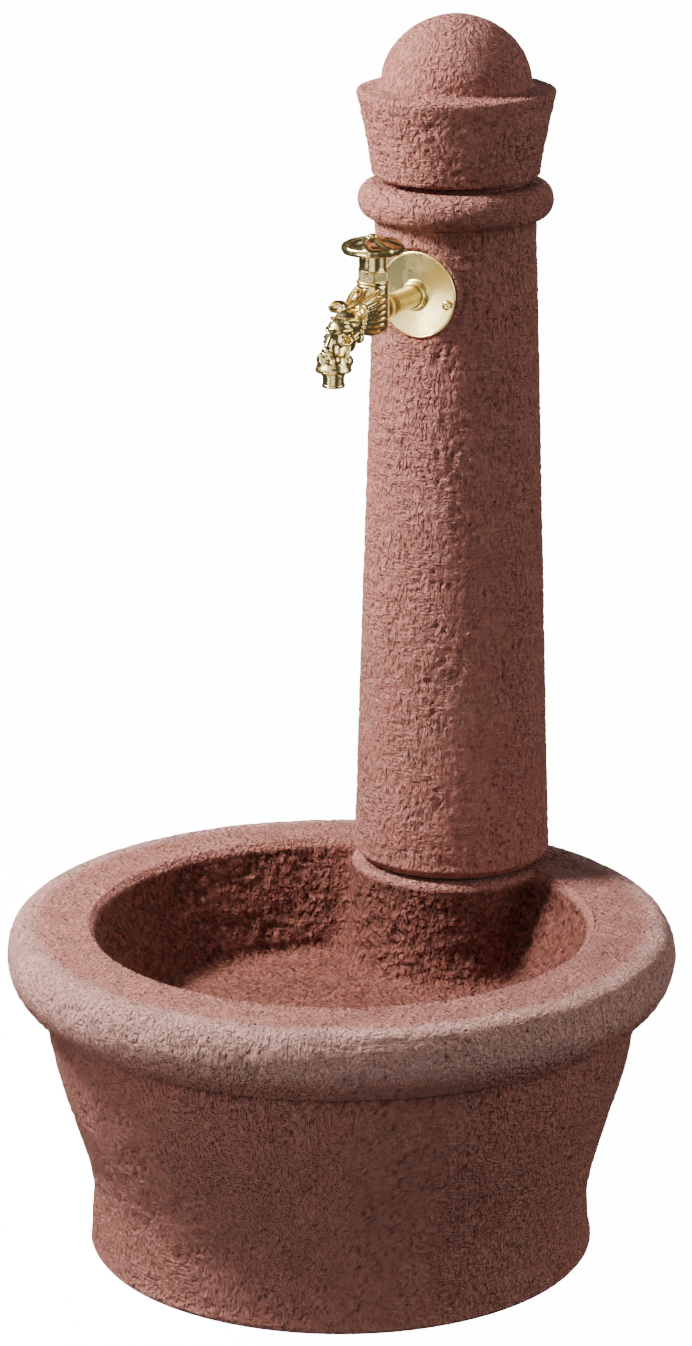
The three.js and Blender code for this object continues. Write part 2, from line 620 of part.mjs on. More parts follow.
// The hexagonal union that the supply hose screws to.
function inletUnion() {
  const face = -INLET_LENGTH - GAP;
  const nutFront = face - UNION_NUT_LENGTH;
  const body = join(
    alongY(rod(PIPE_RADIUS, face - 1, -INLET_LENGTH + PIPE_SOCKET - GAP, BORE_SIDES)),
    alongY(hexagon(FITTING_RADIUS, nutFront, face)),
    alongY(rod(SHANK_RADIUS, nutFront - UNION_TAIL, nutFront + 1, BORE_SIDES)),
  );
  const way = alongY(rod(FITTING_BORE, nutFront - UNION_TAIL - OVERCUT, OVERCUT - GAP, PIN_SIDES));
  return cut(body, way).translate(0, 0, INLET_HEIGHT);
}

// ---- Rosette, about the pipe's axis, with its back at y = 0 ----

function rosette() {
  const hubRadius = SHANK_RADIUS + SHANK_PLAY + HUB_WALL;
  const crown = ROSETTE_EDGE + ROSETTE_CROWN;
  const plate = alongY(turned([
    [SHANK_RADIUS + SHANK_PLAY, -crown - HUB_REACH],
    [hubRadius - 1, -crown - HUB_REACH],
    [hubRadius, -crown - HUB_REACH + 1],
    [hubRadius, -crown],
    [ROSETTE_RADIUS - 1, -ROSETTE_EDGE],
    [ROSETTE_RADIUS, 1 - ROSETTE_EDGE],
    [ROSETTE_RADIUS, 0],
    [SHANK_RADIUS + SHANK_PLAY, 0],
    [SHANK_RADIUS + SHANK_PLAY, -crown - HUB_REACH],
  ], COLUMN_SIDES));
  const hole = alongY(rod(SCREW_RADIUS + GAP, -OVERCUT, OVERCUT, PIN_SIDES));
  const holes = [-1, 1].map((side) => hole.clone().translate(side * SCREW_ACROSS, 0, -side * SCREW_UP));
  return cut(plate, ...holes);
}

// A round-headed screw whose head sits on the rosette's crown.
function rosetteScrew() {
  const seat = -ROSETTE_EDGE - ROSETTE_CROWN - GAP;
  return alongY(turned([
    [0, seat - SCREW_HEAD_HEIGHT],
    [SCREW_HEAD_RADIUS * HEAD_ROUND, seat - SCREW_HEAD_HEIGHT * 0.8],
    [SCREW_HEAD_RADIUS, seat - SCREW_HEAD_HEIGHT * 0.3],
    [SCREW_HEAD_RADIUS, seat],
    [SCREW_RADIUS, seat],
    [SCREW_RADIUS, SCREW_LENGTH - SCREW_TIP],
    [0, SCREW_LENGTH],
  ], PIN_SIDES));
}

function rosettePlug() {
  return alongY(tube(PLUG_RADIUS, SCREW_RADIUS + GAP, GAP * 2, PLUG_LENGTH, PIN_SIDES));
}

// ---- Tap, about its own upright axis, with height 0 at the pipe's centre ----

// The middle line of the head, from the tap's axis forwards and down to the mouth.
function headLine() {
  return new THREE.CatmullRomCurve3(HEAD_PLACES.map(([y, z]) => new THREE.Vector3(0, y, z)));
}

// The waterway from the valve's chamber to the mouth.
function spoutWay() {
  const line = new THREE.CatmullRomCurve3(WATERWAY_PLACES.map(([y, z]) => new THREE.Vector3(0, y, z)));
  const section = new THREE.Shape().absarc(0, 0, WATERWAY, 0, 2 * Math.PI, false);
  return new THREE.ExtrudeGeometry(section, {
    steps: 12, extrudePath: line, bevelEnabled: false, curveSegments: 5,
  });
}

// The animal's head in plain masses: neck, brow, muzzle, lips, ears and jowls.
function headMasses() {
  const section = new THREE.Shape().absarc(0, 0, HEAD_RADIUS, 0, 2 * Math.PI, false);
  const neck = new THREE.ExtrudeGeometry(section, {
    steps: 10, extrudePath: headLine(), bevelEnabled: false, curveSegments: 7,
  });
  const mouth = mouthPlace();
  const lipBottom = mouth.z + LIP_FLARE;
  const lips = turned([
    [0, lipBottom],
    [LIP_RADIUS, lipBottom],
    [LIP_RADIUS + LIP_FLARE, lipBottom + 2 * LIP_FLARE],
    [HEAD_RADIUS - LIP_FLARE, lipBottom + LIP_HEIGHT],
    [0, lipBottom + LIP_HEIGHT],
  ], BORE_SIDES).translate(0, mouth.y, 0);
  return [neck, lips, ...Object.values(HEAD_MASSES).map(([place, size]) => ellipsoid(place, size))];
}

function mouthPlace() {
  return headLine().getPoint(1);
}

function tapBody() {
  const inletRadius = SHANK_RADIUS + INLET_WALL - 1;
  const barrel = new THREE.Path();
  barrel.moveTo(0, -BARREL_BOTTOM);
  barrel.quadraticCurveTo(BARREL_RADIUS, -BARREL_BOTTOM, BARREL_RADIUS, BARREL_ROUND - BARREL_BOTTOM);
  barrel.lineTo(BARREL_RADIUS, BARREL_TOP);
  barrel.lineTo(0, BARREL_TOP);
  const inlet = alongY(turned([
    [0, 0],
    [inletRadius, 0],
    [inletRadius, INLET_REACH - 2 * INLET_RING],
    [inletRadius + INLET_BEAD, INLET_REACH - INLET_RING],
    [inletRadius + INLET_BEAD, INLET_REACH - 1],
    [inletRadius + 1, INLET_REACH],
    [0, INLET_REACH],
  ], BORE_SIDES));
  const mouth = mouthPlace();
  const socketRadius = NOZZLE_RADIUS - NOZZLE_STEP + GAP;
  const socket = rod(socketRadius, mouth.z - OVERCUT, mouth.z + NOZZLE_SPIGOT + GAP, BORE_SIDES);
  const hollow = [
    rod(CHAMBER_RADIUS, SEAT_RISE, BARREL_TOP + OVERCUT, BORE_SIDES),
    rod(SEAT_BORE, -WATERWAY - INLET_DROP, SEAT_RISE + 1, PIN_SIDES),
    alongY(rod(WATERWAY, 0, INLET_REACH, PIN_SIDES)).translate(0, 0, -INLET_DROP),
    alongY(rod(SHANK_RADIUS + GAP, INLET_REACH - SHANK_GRIP - GAP, INLET_REACH + OVERCUT, BORE_SIDES)),
    spoutWay(),
    socket.translate(0, mouth.y, 0),
  ];
  return cut(join(turned(pointsOf(barrel, 4), RING_SIDES), inlet, ...headMasses()), ...hollow);
}

// The short turned outlet screwed into the mouth.
function nozzle() {
  const mouth = mouthPlace();
  const top = mouth.z - GAP;
  const inner = NOZZLE_RADIUS - NOZZLE_WALL;
  const spigot = NOZZLE_RADIUS - NOZZLE_STEP;
  const ring = turned([
    [inner, top - NOZZLE_LENGTH],
    [NOZZLE_RADIUS - NOZZLE_CHAMFER, top - NOZZLE_LENGTH],
    [NOZZLE_RADIUS, top - NOZZLE_LENGTH + NOZZLE_CHAMFER],
    [NOZZLE_RADIUS, top],
    [spigot, top],
    [spigot, top + NOZZLE_SPIGOT],
    [inner, top + NOZZLE_SPIGOT],
    [inner, top - NOZZLE_LENGTH],
  ], BORE_SIDES);
  return ring.translate(0, mouth.y, 0);
}

// ---- Headwork, about the tap's axis ----

const HEX_BOTTOM = BARREL_TOP + GASKET_THICKNESS + 2 * GAP;
const BONNET_TOP = HEX_BOTTOM + HEX_HEIGHT + NECK_HEIGHT;
const HANDLE_BOTTOM = BONNET_TOP + HANDLE_LIFT;
const JUMPER_BOTTOM = SEAT_RISE + WASHER_THICKNESS + 2 * GAP;
const SPINDLE_BOTTOM = JUMPER_BOTTOM + JUMPER_THICKNESS + GAP;
const SPINDLE_TOP = HANDLE_BOTTOM + HANDLE_HUB_DEPTH;

function bonnetGasket() {
  const low = BARREL_TOP + GAP;
  return tube(BARREL_RADIUS - 2 * GAP, CHAMBER_RADIUS, low, low + GASKET_THICKNESS, BORE_SIDES);
}

function bonnet() {
  const hexTop = HEX_BOTTOM + HEX_HEIGHT;
  const spigot = rod(CHAMBER_RADIUS - GAP, BARREL_TOP - BONNET_SPIGOT, HEX_BOTTOM + 1, BORE_SIDES);
  const neck = turned([
    [0, hexTop - 1],
    [NECK_RADIUS, hexTop - 1],
    [NECK_RADIUS, BONNET_TOP - 1],
    [NECK_RADIUS - 1, BONNET_TOP],
    [0, BONNET_TOP],
  ], RING_SIDES);
  const recessDepth = GLAND_HEIGHT + PACKING_HEIGHT + 2 * GAP;
  return cut(
    join(hexagon(HEX_RADIUS, HEX_BOTTOM, hexTop), spigot, neck),
    rod(SPINDLE_RADIUS + SPINDLE_PLAY, 0, BONNET_TOP + OVERCUT, BORE_SIDES),
    rod(GLAND_RADIUS + GAP, BONNET_TOP - recessDepth, BONNET_TOP + OVERCUT, BORE_SIDES),
  );
}

function glandNut() {
  const low = BONNET_TOP - GLAND_HEIGHT;
  return tube(GLAND_RADIUS, SPINDLE_RADIUS + SPINDLE_PLAY, low, BONNET_TOP, BORE_SIDES);
}

function packingRing() {
  const top = BONNET_TOP - GLAND_HEIGHT - GAP;
  return tube(GLAND_RADIUS, SPINDLE_RADIUS + SPINDLE_PLAY, top - PACKING_HEIGHT, top, BORE_SIDES);
}

function spindle() {
  const stemTop = JUMPER_BOTTOM + JUMPER_THICKNESS + JUMPER_STEM_LENGTH;
  return cut(
    rod(SPINDLE_RADIUS, SPINDLE_BOTTOM, SPINDLE_TOP, BORE_SIDES),
    rod(JUMPER_STEM + GAP, SPINDLE_BOTTOM - OVERCUT, stemTop + 1, PIN_SIDES),
    rod(HANDLE_SCREW_RADIUS + GAP, SPINDLE_TOP - HANDLE_SCREW_LENGTH, SPINDLE_TOP + OVERCUT, PIN_SIDES),
  );
}

function valveJumper() {
  const top = JUMPER_BOTTOM + JUMPER_THICKNESS;
  return join(
    rod(JUMPER_RADIUS, JUMPER_BOTTOM, top, BORE_SIDES),
    rod(JUMPER_STEM, top - 1, top + JUMPER_STEM_LENGTH, PIN_SIDES),
  );
}

function valveWasher() {
  return rod(JUMPER_RADIUS - PIN_PLAY, SEAT_RISE + GAP, SEAT_RISE + GAP + WASHER_THICKNESS, BORE_SIDES);
}

// The outline of the handle from above: scalloped, with one petal to each lobe.
function petalOutline() {
  const steps = HANDLE_PETALS * 6;
  const points = [];
  for (let i = 0; i < steps; i += 1) {
    const angle = (2 * Math.PI * i) / steps;
    const radius = HANDLE_RADIUS - PETAL_DEPTH * (1 - Math.abs(Math.cos((HANDLE_PETALS * angle) / 2)));
    points.push(new THREE.Vector2(radius * Math.cos(angle), radius * Math.sin(angle)));
  }
  return new THREE.Shape(points);
}

function handle() {
  const dome = new THREE.Path();
  dome.moveTo(0, 0);
  dome.lineTo(HANDLE_RADIUS - HANDLE_UNDERCUT, 0);
  dome.quadraticCurveTo(HANDLE_RADIUS + 1, 1, HANDLE_RADIUS + 1, HANDLE_EDGE);
  dome.quadraticCurveTo(
    HANDLE_RADIUS - HANDLE_CROWN_PULL[0], HANDLE_HEIGHT - HANDLE_CROWN_PULL[1],
    HANDLE_HUB_RADIUS, HANDLE_HEIGHT - 1,
  );
  dome.lineTo(HANDLE_HUB_RADIUS - 1, HANDLE_HEIGHT);
  dome.lineTo(0, HANDLE_HEIGHT);
  const lobes = new THREE.ExtrudeGeometry(petalOutline(), { depth: HANDLE_HEIGHT + 2, bevelEnabled: false });
  const wheel = common(turned(pointsOf(dome, 3), HANDLE_PETALS * 4), lobes.translate(0, 0, -1));
  return cut(
    wheel,
    rod(SPINDLE_RADIUS + GAP, -OVERCUT, HANDLE_HUB_DEPTH + GAP, BORE_SIDES),
    rod(HANDLE_SCREW_RADIUS + GAP, 0, HANDLE_HEIGHT + OVERCUT, PIN_SIDES),
  ).translate(0, 0, HANDLE_BOTTOM);
}

function handleScrew() {
  const seat = HANDLE_BOTTOM + HANDLE_HEIGHT + GAP;
  return turned([
    [0, SPINDLE_TOP - HANDLE_SCREW_LENGTH + 2],
    [HANDLE_SCREW_RADIUS, SPINDLE_TOP - HANDLE_SCREW_LENGTH + 3],
    [HANDLE_SCREW_RADIUS, seat],
    [HANDLE_SCREW_HEAD, seat],
    [HANDLE_SCREW_HEAD, seat + 1],
    [HANDLE_SCREW_HEAD * HEAD_ROUND, seat + 0.85 * HANDLE_SCREW_HEIGHT],
    [0, seat + HANDLE_SCREW_HEIGHT],
  ], PIN_SIDES);
}

// ---- Drain, about its own axis ----

const RECESS_FLOOR = BOWL_FLOOR - DRAIN_RECESS;
const FLANGE_BOTTOM = RECESS_FLOOR + DRAIN_SEAL_THICKNESS + 2 * GAP;
const FLANGE_TOP = FLANGE_BOTTOM + DRAIN_FLANGE_THICKNESS;

function drainBody() {
  const inner = DRAIN_TUBE_RADIUS - DRAIN_TUBE_WALL;
  const bottom = SLAB_UNDERSIDE - DRAIN_TAIL;
  const shell = turned([
    [inner, bottom],
    [DRAIN_TUBE_RADIUS, bottom],
    [DRAIN_TUBE_RADIUS, FLANGE_BOTTOM],
    [DRAIN_FLANGE, FLANGE_BOTTOM],
    [DRAIN_FLANGE, FLANGE_TOP],
    [inner, FLANGE_TOP],
    [inner, bottom],
  ], RING_SIDES);
  const barTop = FLANGE_BOTTOM - DRAIN_BAR_DROP;
  const bar = box([-inner - 1, -DRAIN_BAR, barTop - DRAIN_BAR_HEIGHT], [inner + 1, DRAIN_BAR, barTop]);
  return cut(join(shell, bar), rod(DRAIN_SCREW_RADIUS + GAP, SLAB_UNDERSIDE, FLANGE_TOP, PIN_SIDES));
}

function drainSeal() {
  const low = RECESS_FLOOR + GAP;
  return tube(DRAIN_FLANGE, DRAIN_BORE, low, low + DRAIN_SEAL_THICKNESS, RING_SIDES);
}

function drainStrainer() {
  const bottom = FLANGE_TOP + GAP;
  const holes = [];
  for (let i = 0; i < GRATING_HOLES; i += 1) {
    const angle = (2 * Math.PI * i) / GRATING_HOLES;
    const hole = rod(GRATING_HOLE_RADIUS, bottom - OVERCUT, bottom + OVERCUT, PIN_SIDES);
    const reach = Math.min(GRATING_HOLE_CIRCLE, DRAIN_TUBE_RADIUS - DRAIN_TUBE_WALL - GRATING_HOLE_RADIUS);
    holes.push(hole.translate(reach * Math.cos(angle), reach * Math.sin(angle), 0));
  }
  return cut(
    rod(GRATING_RADIUS, bottom, bottom + GRATING_THICKNESS, RING_SIDES),
    rod(DRAIN_SCREW_RADIUS + GAP, bottom - OVERCUT, bottom + OVERCUT, PIN_SIDES),
    ...holes,
  );
}

function drainScrew() {
  const seat = FLANGE_TOP + 2 * GAP + GRATING_THICKNESS;
  const tip = FLANGE_BOTTOM - DRAIN_BAR_DROP - DRAIN_BAR_HEIGHT - DRAIN_SCREW_TIP;
  return turned([
    [0, tip - 1],
    [DRAIN_SCREW_RADIUS, tip],
    [DRAIN_SCREW_RADIUS, seat],
    [DRAIN_SCREW_HEAD, seat],
    [DRAIN_SCREW_HEAD * HEAD_ROUND, seat + DRAIN_SCREW_HEIGHT],
    [0, seat + DRAIN_SCREW_HEIGHT],
  ], PIN_SIDES);
}

function drainWasher() {
  const top = SLAB_UNDERSIDE - GAP;
  return tube(DRAIN_NUT_RADIUS + 2, DRAIN_TUBE_RADIUS + GAP, top - DRAIN_WASHER_THICKNESS, top, RING_SIDES);
}

function drainNut() {
  const top = SLAB_UNDERSIDE - 2 * GAP - DRAIN_WASHER_THICKNESS;
  const nut = rod(DRAIN_NUT_RADIUS, top - DRAIN_NUT_HEIGHT, top, DRAIN_NUT_SIDES);
  return cut(nut, rod(DRAIN_TUBE_RADIUS + GAP, top - 2 * DRAIN_NUT_HEIGHT, top + OVERCUT, RING_SIDES));
}

// ---- Assembly ----

function columnGroup() {
  const group = new THREE.Group();
  group.position.set(0, COLUMN_BACK, 0);
  group.add(
    piece('column', column(), STONE),
    piece('cap', cap(), STONE),
    piece('column_bed_seal', columnBedSeal(), RUBBER),
    piece('cap_bed_seal', capBedSeal(), RUBBER),
    piece('column_dowel_left', dowel(-1), STEEL),
    piece('column_dowel_right', dowel(1), STEEL),
    piece('tap_shank', tapShank(), BRASS),
    piece('saddle_washer', saddleWasher(), PLASTIC),
    piece('shank_backnut', shankBacknut(), BRASS),
    piece('tap_elbow', tapElbow(), BRASS),
    piece('riser_pipe', riserPipe(), COPPER),
    piece('inlet_elbow', inletElbow(), BRASS),
    piece('inlet_union', inletUnion(), BRASS),
  );
  return group;
}

function rosetteGroup() {
  const group = new THREE.Group();
  group.position.set(0, COLUMN_BACK + BOSS_FACE - GAP, TAP_HEIGHT);
  group.add(piece('rosette', rosette(), BRASS));
  for (const [side, name] of [[-1, 'left'], [1, 'right']]) {
    const screw = piece(`rosette_screw_${name}`, rosetteScrew(), BRASS);
    const plug = piece(`rosette_plug_${name}`, rosettePlug(), PLASTIC);
    screw.position.set(side * SCREW_ACROSS, 0, -side * SCREW_UP);
    plug.position.copy(screw.position);
    group.add(screw, plug);
  }
  return group;
}

function tapGroup() {
  const group = new THREE.Group();
  group.position.set(0, COLUMN_BACK + BOSS_FACE - TAP_REACH, TAP_HEIGHT);
  group.add(
    piece('tap_body', tapBody(), BRASS),
    piece('nozzle', nozzle(), BRASS),
    piece('bonnet_gasket', bonnetGasket(), RUBBER),
    piece('bonnet', bonnet(), BRASS),
    piece('packing_ring', packingRing(), RUBBER),
    piece('gland_nut', glandNut(), BRASS),
    piece('spindle', spindle(), BRASS),
    piece('valve_jumper', valveJumper(), BRASS),
    piece('valve_washer', valveWasher(), RUBBER),
    piece('handle', handle(), BRASS),
    piece('handle_screw', handleScrew(), BRASS),
  );
  return group;
}

function drainGroup() {
  const group = new THREE.Group();
  group.position.set(0, -DRAIN_FORWARD, 0);
  group.add(
    piece('drain_body', drainBody(), BRASS),
    piece('drain_seal', drainSeal(), RUBBER),
    piece('drain_strainer', drainStrainer(), STEEL),
    piece('drain_screw', drainScrew(), STEEL),
    piece('drain_washer', drainWasher(), RUBBER),
    piece('drain_nut', drainNut(), BRASS),
  );
  return group;
}

const fountain = new THREE.Group();
fountain.add(piece('basin', basin(), STONE), columnGroup(), rosetteGroup(), tapGroup(), drainGroup());

export default fountain;
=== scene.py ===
"""A garden drinking fountain: stone basin, tapered column, domed cap and a brass animal-head tap.

Metres, +Z up. The tap faces -Y, and the basin's foot stands on the ground around the origin.
"""

import logging
import math
from collections.abc import Callable, Iterable, Sequence
from dataclasses import dataclass, field
from enum import Enum
from functools import lru_cache

import bmesh
import bpy
from mathutils import Matrix, Vector, noise


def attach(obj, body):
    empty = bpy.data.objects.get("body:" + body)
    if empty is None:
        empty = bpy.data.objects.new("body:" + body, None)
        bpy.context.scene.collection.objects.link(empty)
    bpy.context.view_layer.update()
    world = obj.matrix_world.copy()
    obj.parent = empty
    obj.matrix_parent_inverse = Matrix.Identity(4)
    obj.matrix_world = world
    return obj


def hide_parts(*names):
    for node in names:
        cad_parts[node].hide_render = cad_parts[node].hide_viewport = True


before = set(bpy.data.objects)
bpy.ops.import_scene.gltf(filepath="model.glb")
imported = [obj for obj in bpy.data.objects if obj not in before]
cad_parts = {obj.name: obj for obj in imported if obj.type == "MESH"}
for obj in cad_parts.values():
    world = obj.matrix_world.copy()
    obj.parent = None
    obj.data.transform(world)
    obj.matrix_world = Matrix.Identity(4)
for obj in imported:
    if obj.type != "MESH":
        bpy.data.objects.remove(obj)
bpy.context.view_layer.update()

MM = 0.001
COLUMN_BACK = 212.0  # the column's axis, in millimetres behind the basin's
TAP_BACK = 57.48  # the tap's upright axis
TAP_HEIGHT = 857.0
DOWEL_REACH = 65.0
DOWEL_HOLE = 6.4
DOWEL_DEPTH = 36.3
Point = tuple[float, float]
Place = tuple[float, float, float]
Mesh = bmesh.types.BMesh
log = logging.getLogger("fountain")


class Rider(Enum):
    """The bodies that pieces ride on."""

    STONEWORK = "stonework"
    HANDLE = "handle"


class Slot(Enum):
    """The finishes that the record names."""

    STONE = "cast_stone"
    BRASS = "polished_brass"
    STEEL = "stainless_steel"
    COPPER = "copper_pipe"
    RUBBER = "black_rubber"
    PLASTIC = "grey_plastic"


class Joining(Enum):
    """How one solid is combined with another."""

    CUT = "DIFFERENCE"
    ADD = "UNION"


class Tone(Enum):
    """The mixes of pigment in the stone, as main, pale and deep colours; the shaded bowl's mix is darker, as painted
    shade inside the bowl.
    """

    BODY = ((0.372, 0.130, 0.101), (0.54, 0.242, 0.198), (0.130, 0.038, 0.026))
    # darker colours that paint the shade inside the bowl
    SHADED_BOWL = ((0.215, 0.060, 0.043), (0.34, 0.118, 0.086), (0.070, 0.017, 0.011))


class Tint:
    """Colours that tint the stone in places."""

    OLIVE = (0.235, 0.128, 0.078)
    RUST = (0.46, 0.155, 0.105)
    # paler rim lip: partly bleached stone, partly a painted highlight
    BLEACHED_AND_LIT = (0.66, 0.37, 0.32)
    TAN = (0.50, 0.275, 0.20)
    PALE_GRAIN = (0.86, 0.64, 0.58)
    DARK_GRAIN = (0.10, 0.036, 0.027)


# ---- Shader values ----


class Wire:
    """A shader value whose arithmetic adds Math nodes."""

    def __init__(self, bench: "Bench", socket: bpy.types.NodeSocket) -> None:
        """Wraps one output socket of a bench."""
        self.bench = bench
        self.socket = socket

    def _math(self, operation: str, *values: "Wire | float") -> "Wire":
        """Adds one Math node with its inputs in order."""
        return self.bench.add("ShaderNodeMath", {"operation": operation}, dict(enumerate(values)))

    def __add__(self, other: "Wire | float") -> "Wire":
        """This plus another value."""
        return self._math("ADD", self, other)

    __radd__ = __add__

    def __sub__(self, other: "Wire | float") -> "Wire":
        """This minus another value."""
        return self._math("SUBTRACT", self, other)

    def __rsub__(self, other: float) -> "Wire":
        """Another value minus this."""
        return self._math("SUBTRACT", other, self)

    def __mul__(self, other: "Wire | float") -> "Wire":
        """This times another value."""
        return self._math("MULTIPLY", self, other)

    __rmul__ = __mul__

    def ramped(self, low: float, high: float) -> "Wire":
        """Smoothly 0 below one level and 1 above another."""
        settings = {"interpolation_type": "SMOOTHSTEP"}
        return self.bench.add("ShaderNodeMapRange", settings, {0: self, 1: low, 2: high, 3: 0.0, 4: 1.0})


Colour = Wire | Sequence[float]
Sockets = dict[int | str, Wire | float | Sequence[float]]


class Bench:
    """One material's node tree, with a method that adds any node."""

    def __init__(self, name: str) -> None:
        """Starts a material with one principled shader."""
        self.material = bpy.data.materials.new(name)
        self.material.use_nodes = True
        self.tree = self.material.node_tree
        self.shader = self.tree.nodes["Principled BSDF"]

    def add(
        self,
        kind: str,
        settings: dict[str, object] | None = None,
        sockets: Sockets | None = None,
        out: int | str = 0,
    ) -> Wire:
        """Adds a node.

        Args:
            kind: the node's type.
            settings: its properties, set before its sockets.
            sockets: values or links of its inputs.
            out: which output to hand back.

        Returns:
            That output.
        """
        node = self.tree.nodes.new(kind)
        for name, value in (settings or {}).items():
            setattr(node, name, value)
        self.plug(node, sockets or {})
        return Wire(self, node.outputs[out])

    def plug(self, node: bpy.types.Node, sockets: Sockets) -> None:
        """Sets or links a node's inputs.

        Args:
            node: the node.
            sockets: values or links by input name or number.
        """
        for name, value in sockets.items():
            target = node.inputs[name]
            if isinstance(value, Wire):
                self.tree.links.new(value.socket, target)
            elif isinstance(value, (tuple, list)) and len(target.default_value) == 4:
                target.default_value = (*value, 1.0)
            else:
                target.default_value = value

    def place(self, squeeze: float = 1.0, widen: float = 1.0) -> Wire:
        """The point on the object in metres, with its height squeezed or its level directions widened."""
        spot = self.add("ShaderNodeTexCoord", out="Object")
        return self.add("ShaderNodeMapping", sockets={"Vector": spot, "Scale": (widen, widen, squeeze)})

    def grain(self, spot: Wire, size: float, detail: float, rough: float = 0.5, bend: float = 0.0) -> Wire:
        """Fine random variation from 0 to 1.

        Args:
            spot: coordinates in metres.
            size: the size of its lumps in metres.
            detail: how many finer layers it has.
            rough: how strong these are.
            bend: how much it is distorted.

        Returns:
            The variation.
        """
        layers = {"Detail": detail, "Roughness": rough, "Distortion": bend}
        return self.add("ShaderNodeTexNoise", sockets={"Vector": spot, "Scale": 1.0 / size, **layers})

    def zone(self, name: str) -> Wire:
        """How much a point belongs to a zone that the mesh keeps as an attribute."""
        return self.add("ShaderNodeAttribute", {"attribute_name": name}, out="Fac")

    def blend(self, share: Wire | float, first: Colour, second: Colour) -> Wire:
        """Mixes a share of the second colour into the first."""
        settings = {"data_type": "RGBA", "clamp_factor": True}
        return self.add("ShaderNodeMix", settings, {0: share, 6: first, 7: second}, out=2)

    def bump(self, height: Wire, depth: float, under: Wire | None = None, strength: float = 1.0) -> Wire:
        """Fine relief.

        Args:
            height: relief from 0 to 1.
            depth: what 1 means in metres.
            under: coarser relief that it lies on.
            strength: how much it shows.

        Returns:
            The bent normal.
        """
        sockets = {"Height": height, "Distance": depth, "Strength": strength}
        if under is not None:
            sockets["Normal"] = under
        return self.add("ShaderNodeBump", sockets=sockets)


# ---- Finishes ----


@dataclass(frozen=True)
class Finish:
    """A surface finish; each kind fills in its own recipe."""

    name: str
    slot: Slot

    def recipe(self, bench: Bench) -> Sockets:
        """The principled shader's inputs."""
        return {"Roughness": 0.5}


@dataclass(frozen=True)
class CastStone(Finish):
    """Pigmented cast stone with a sandy, pitted skin."""

    sand: float = 5.0 * MM
    grit: float = 1.5 * MM
    weave: float = 2.3 * MM
    crust: float = 8.0 * MM
    cloud: float = 95.0 * MM
    patch: float = 34.0 * MM
    turn: float = 26.0 * MM
    sand_depth: float = 2.2 * MM
    weave_depth: float = 1.8 * MM
    crust_depth: float = 4.5 * MM
    grit_depth: float = 0.45 * MM
    streak: float = 0.6
    speckle: float = 0.20
    rim_speckle: float = 0.0

    def _weave(self, bench: Bench) -> Wire:
        """Upright and level ripples that take turns over the surface."""
        upright = bench.grain(bench.place(squeeze=0.26), self.weave, 1.5, bend=0.6).ramped(0.36, 0.64)
        level = bench.grain(bench.place(widen=0.28), self.weave, 1.5, bend=0.6).ramped(0.36, 0.64)
        across = bench.grain(bench.place(), self.turn, 2).ramped(0.42, 0.58)
        return upright * (1.0 - across) + level * across

    def recipe(self, bench: Bench) -> Sockets:
        """The principled shader's inputs."""
        bowl, rim, worn, relief_shade_and_highlight = (bench.zone(name) for name in ("bowl", "rim", "worn", "carve"))
        # inside the bowl the three colours turn darker: painted shade of the bowl's inside
        main, pale, deep = (bench.blend(bowl, *pair) for pair in zip(Tone.BODY.value, Tone.SHADED_BOWL.value))
        spot, woven, body = bench.place(), self._weave(bench), 1.0 - bowl
        clouds = bench.grain(spot, self.cloud, 4, 0.6, 0.4)
        patches = bench.grain(spot, self.patch, 5, 0.62, 0.2)
        sand = bench.grain(bench.place(self.streak), self.sand, 2, bend=0.5)
        grit = bench.grain(spot, self.grit, 2, 0.7)
        cells = {"Vector": spot, "Scale": 1.0 / self.crust, "Randomness": 0.9}
        gaps = bench.add("ShaderNodeTexVoronoi", sockets=cells)
        speckle = self.speckle + self.rim_speckle * rim
        colour = main
        for share, tint in (
            (patches.ramped(0.40, 0.75) * 0.3, pale),
            (clouds.ramped(0.50, 0.75) * 0.34 * body, Tint.OLIVE),
            ((1.0 - clouds).ramped(0.55, 0.75) * 0.30 * body, Tint.RUST),
            # the rim's rounded lip is paler: partly bleached stone, partly a painted highlight
            (worn * 0.62, Tint.BLEACHED_AND_LIT),
            # hollows below their neighbours are darkened as painted shade, and crests lightened as painted highlight
            (relief_shade_and_highlight.ramped(0.54, 0.95) * 0.75, deep),
            ((1.0 - relief_shade_and_highlight).ramped(0.54, 0.95) * 0.45, pale),
            # low parts of the sand relief are darkened: painted shade in its hollows
            ((1.0 - sand).ramped(0.54, 0.68) * 0.30, deep),
            # in the bowl the gaps between the crust's lumps are darkened: painted shade
            (gaps.ramped(0.42, 0.75) * 0.7 * bowl, deep),
            (woven * 0.14, Tint.TAN),
            (grit.ramped(0.58, 0.68) * speckle * (1.0 - 0.7 * bowl), Tint.PALE_GRAIN),
            ((1.0 - grit).ramped(0.57, 0.68) * 1.5 * speckle, Tint.DARK_GRAIN),
        ):
            colour = bench.blend(share, colour, tint)
        normal = bench.bump((1.0 - gaps.ramped(0.12, 0.62)) * bowl, self.crust_depth)
        normal = bench.bump(sand.ramped(0.33, 0.67), self.sand_depth, normal)
        normal = bench.bump(woven * (1.0 - 0.6 * bowl) * (1.0 - 0.35 * rim), self.weave_depth, normal)
        normal = bench.bump(grit, self.grit_depth, normal)
        rough = 0.84 + 0.14 * (1.0 - grit)
        return {"Base Color": colour, "Roughness": rough, "Specular IOR Level": 0.15, "Normal": normal}


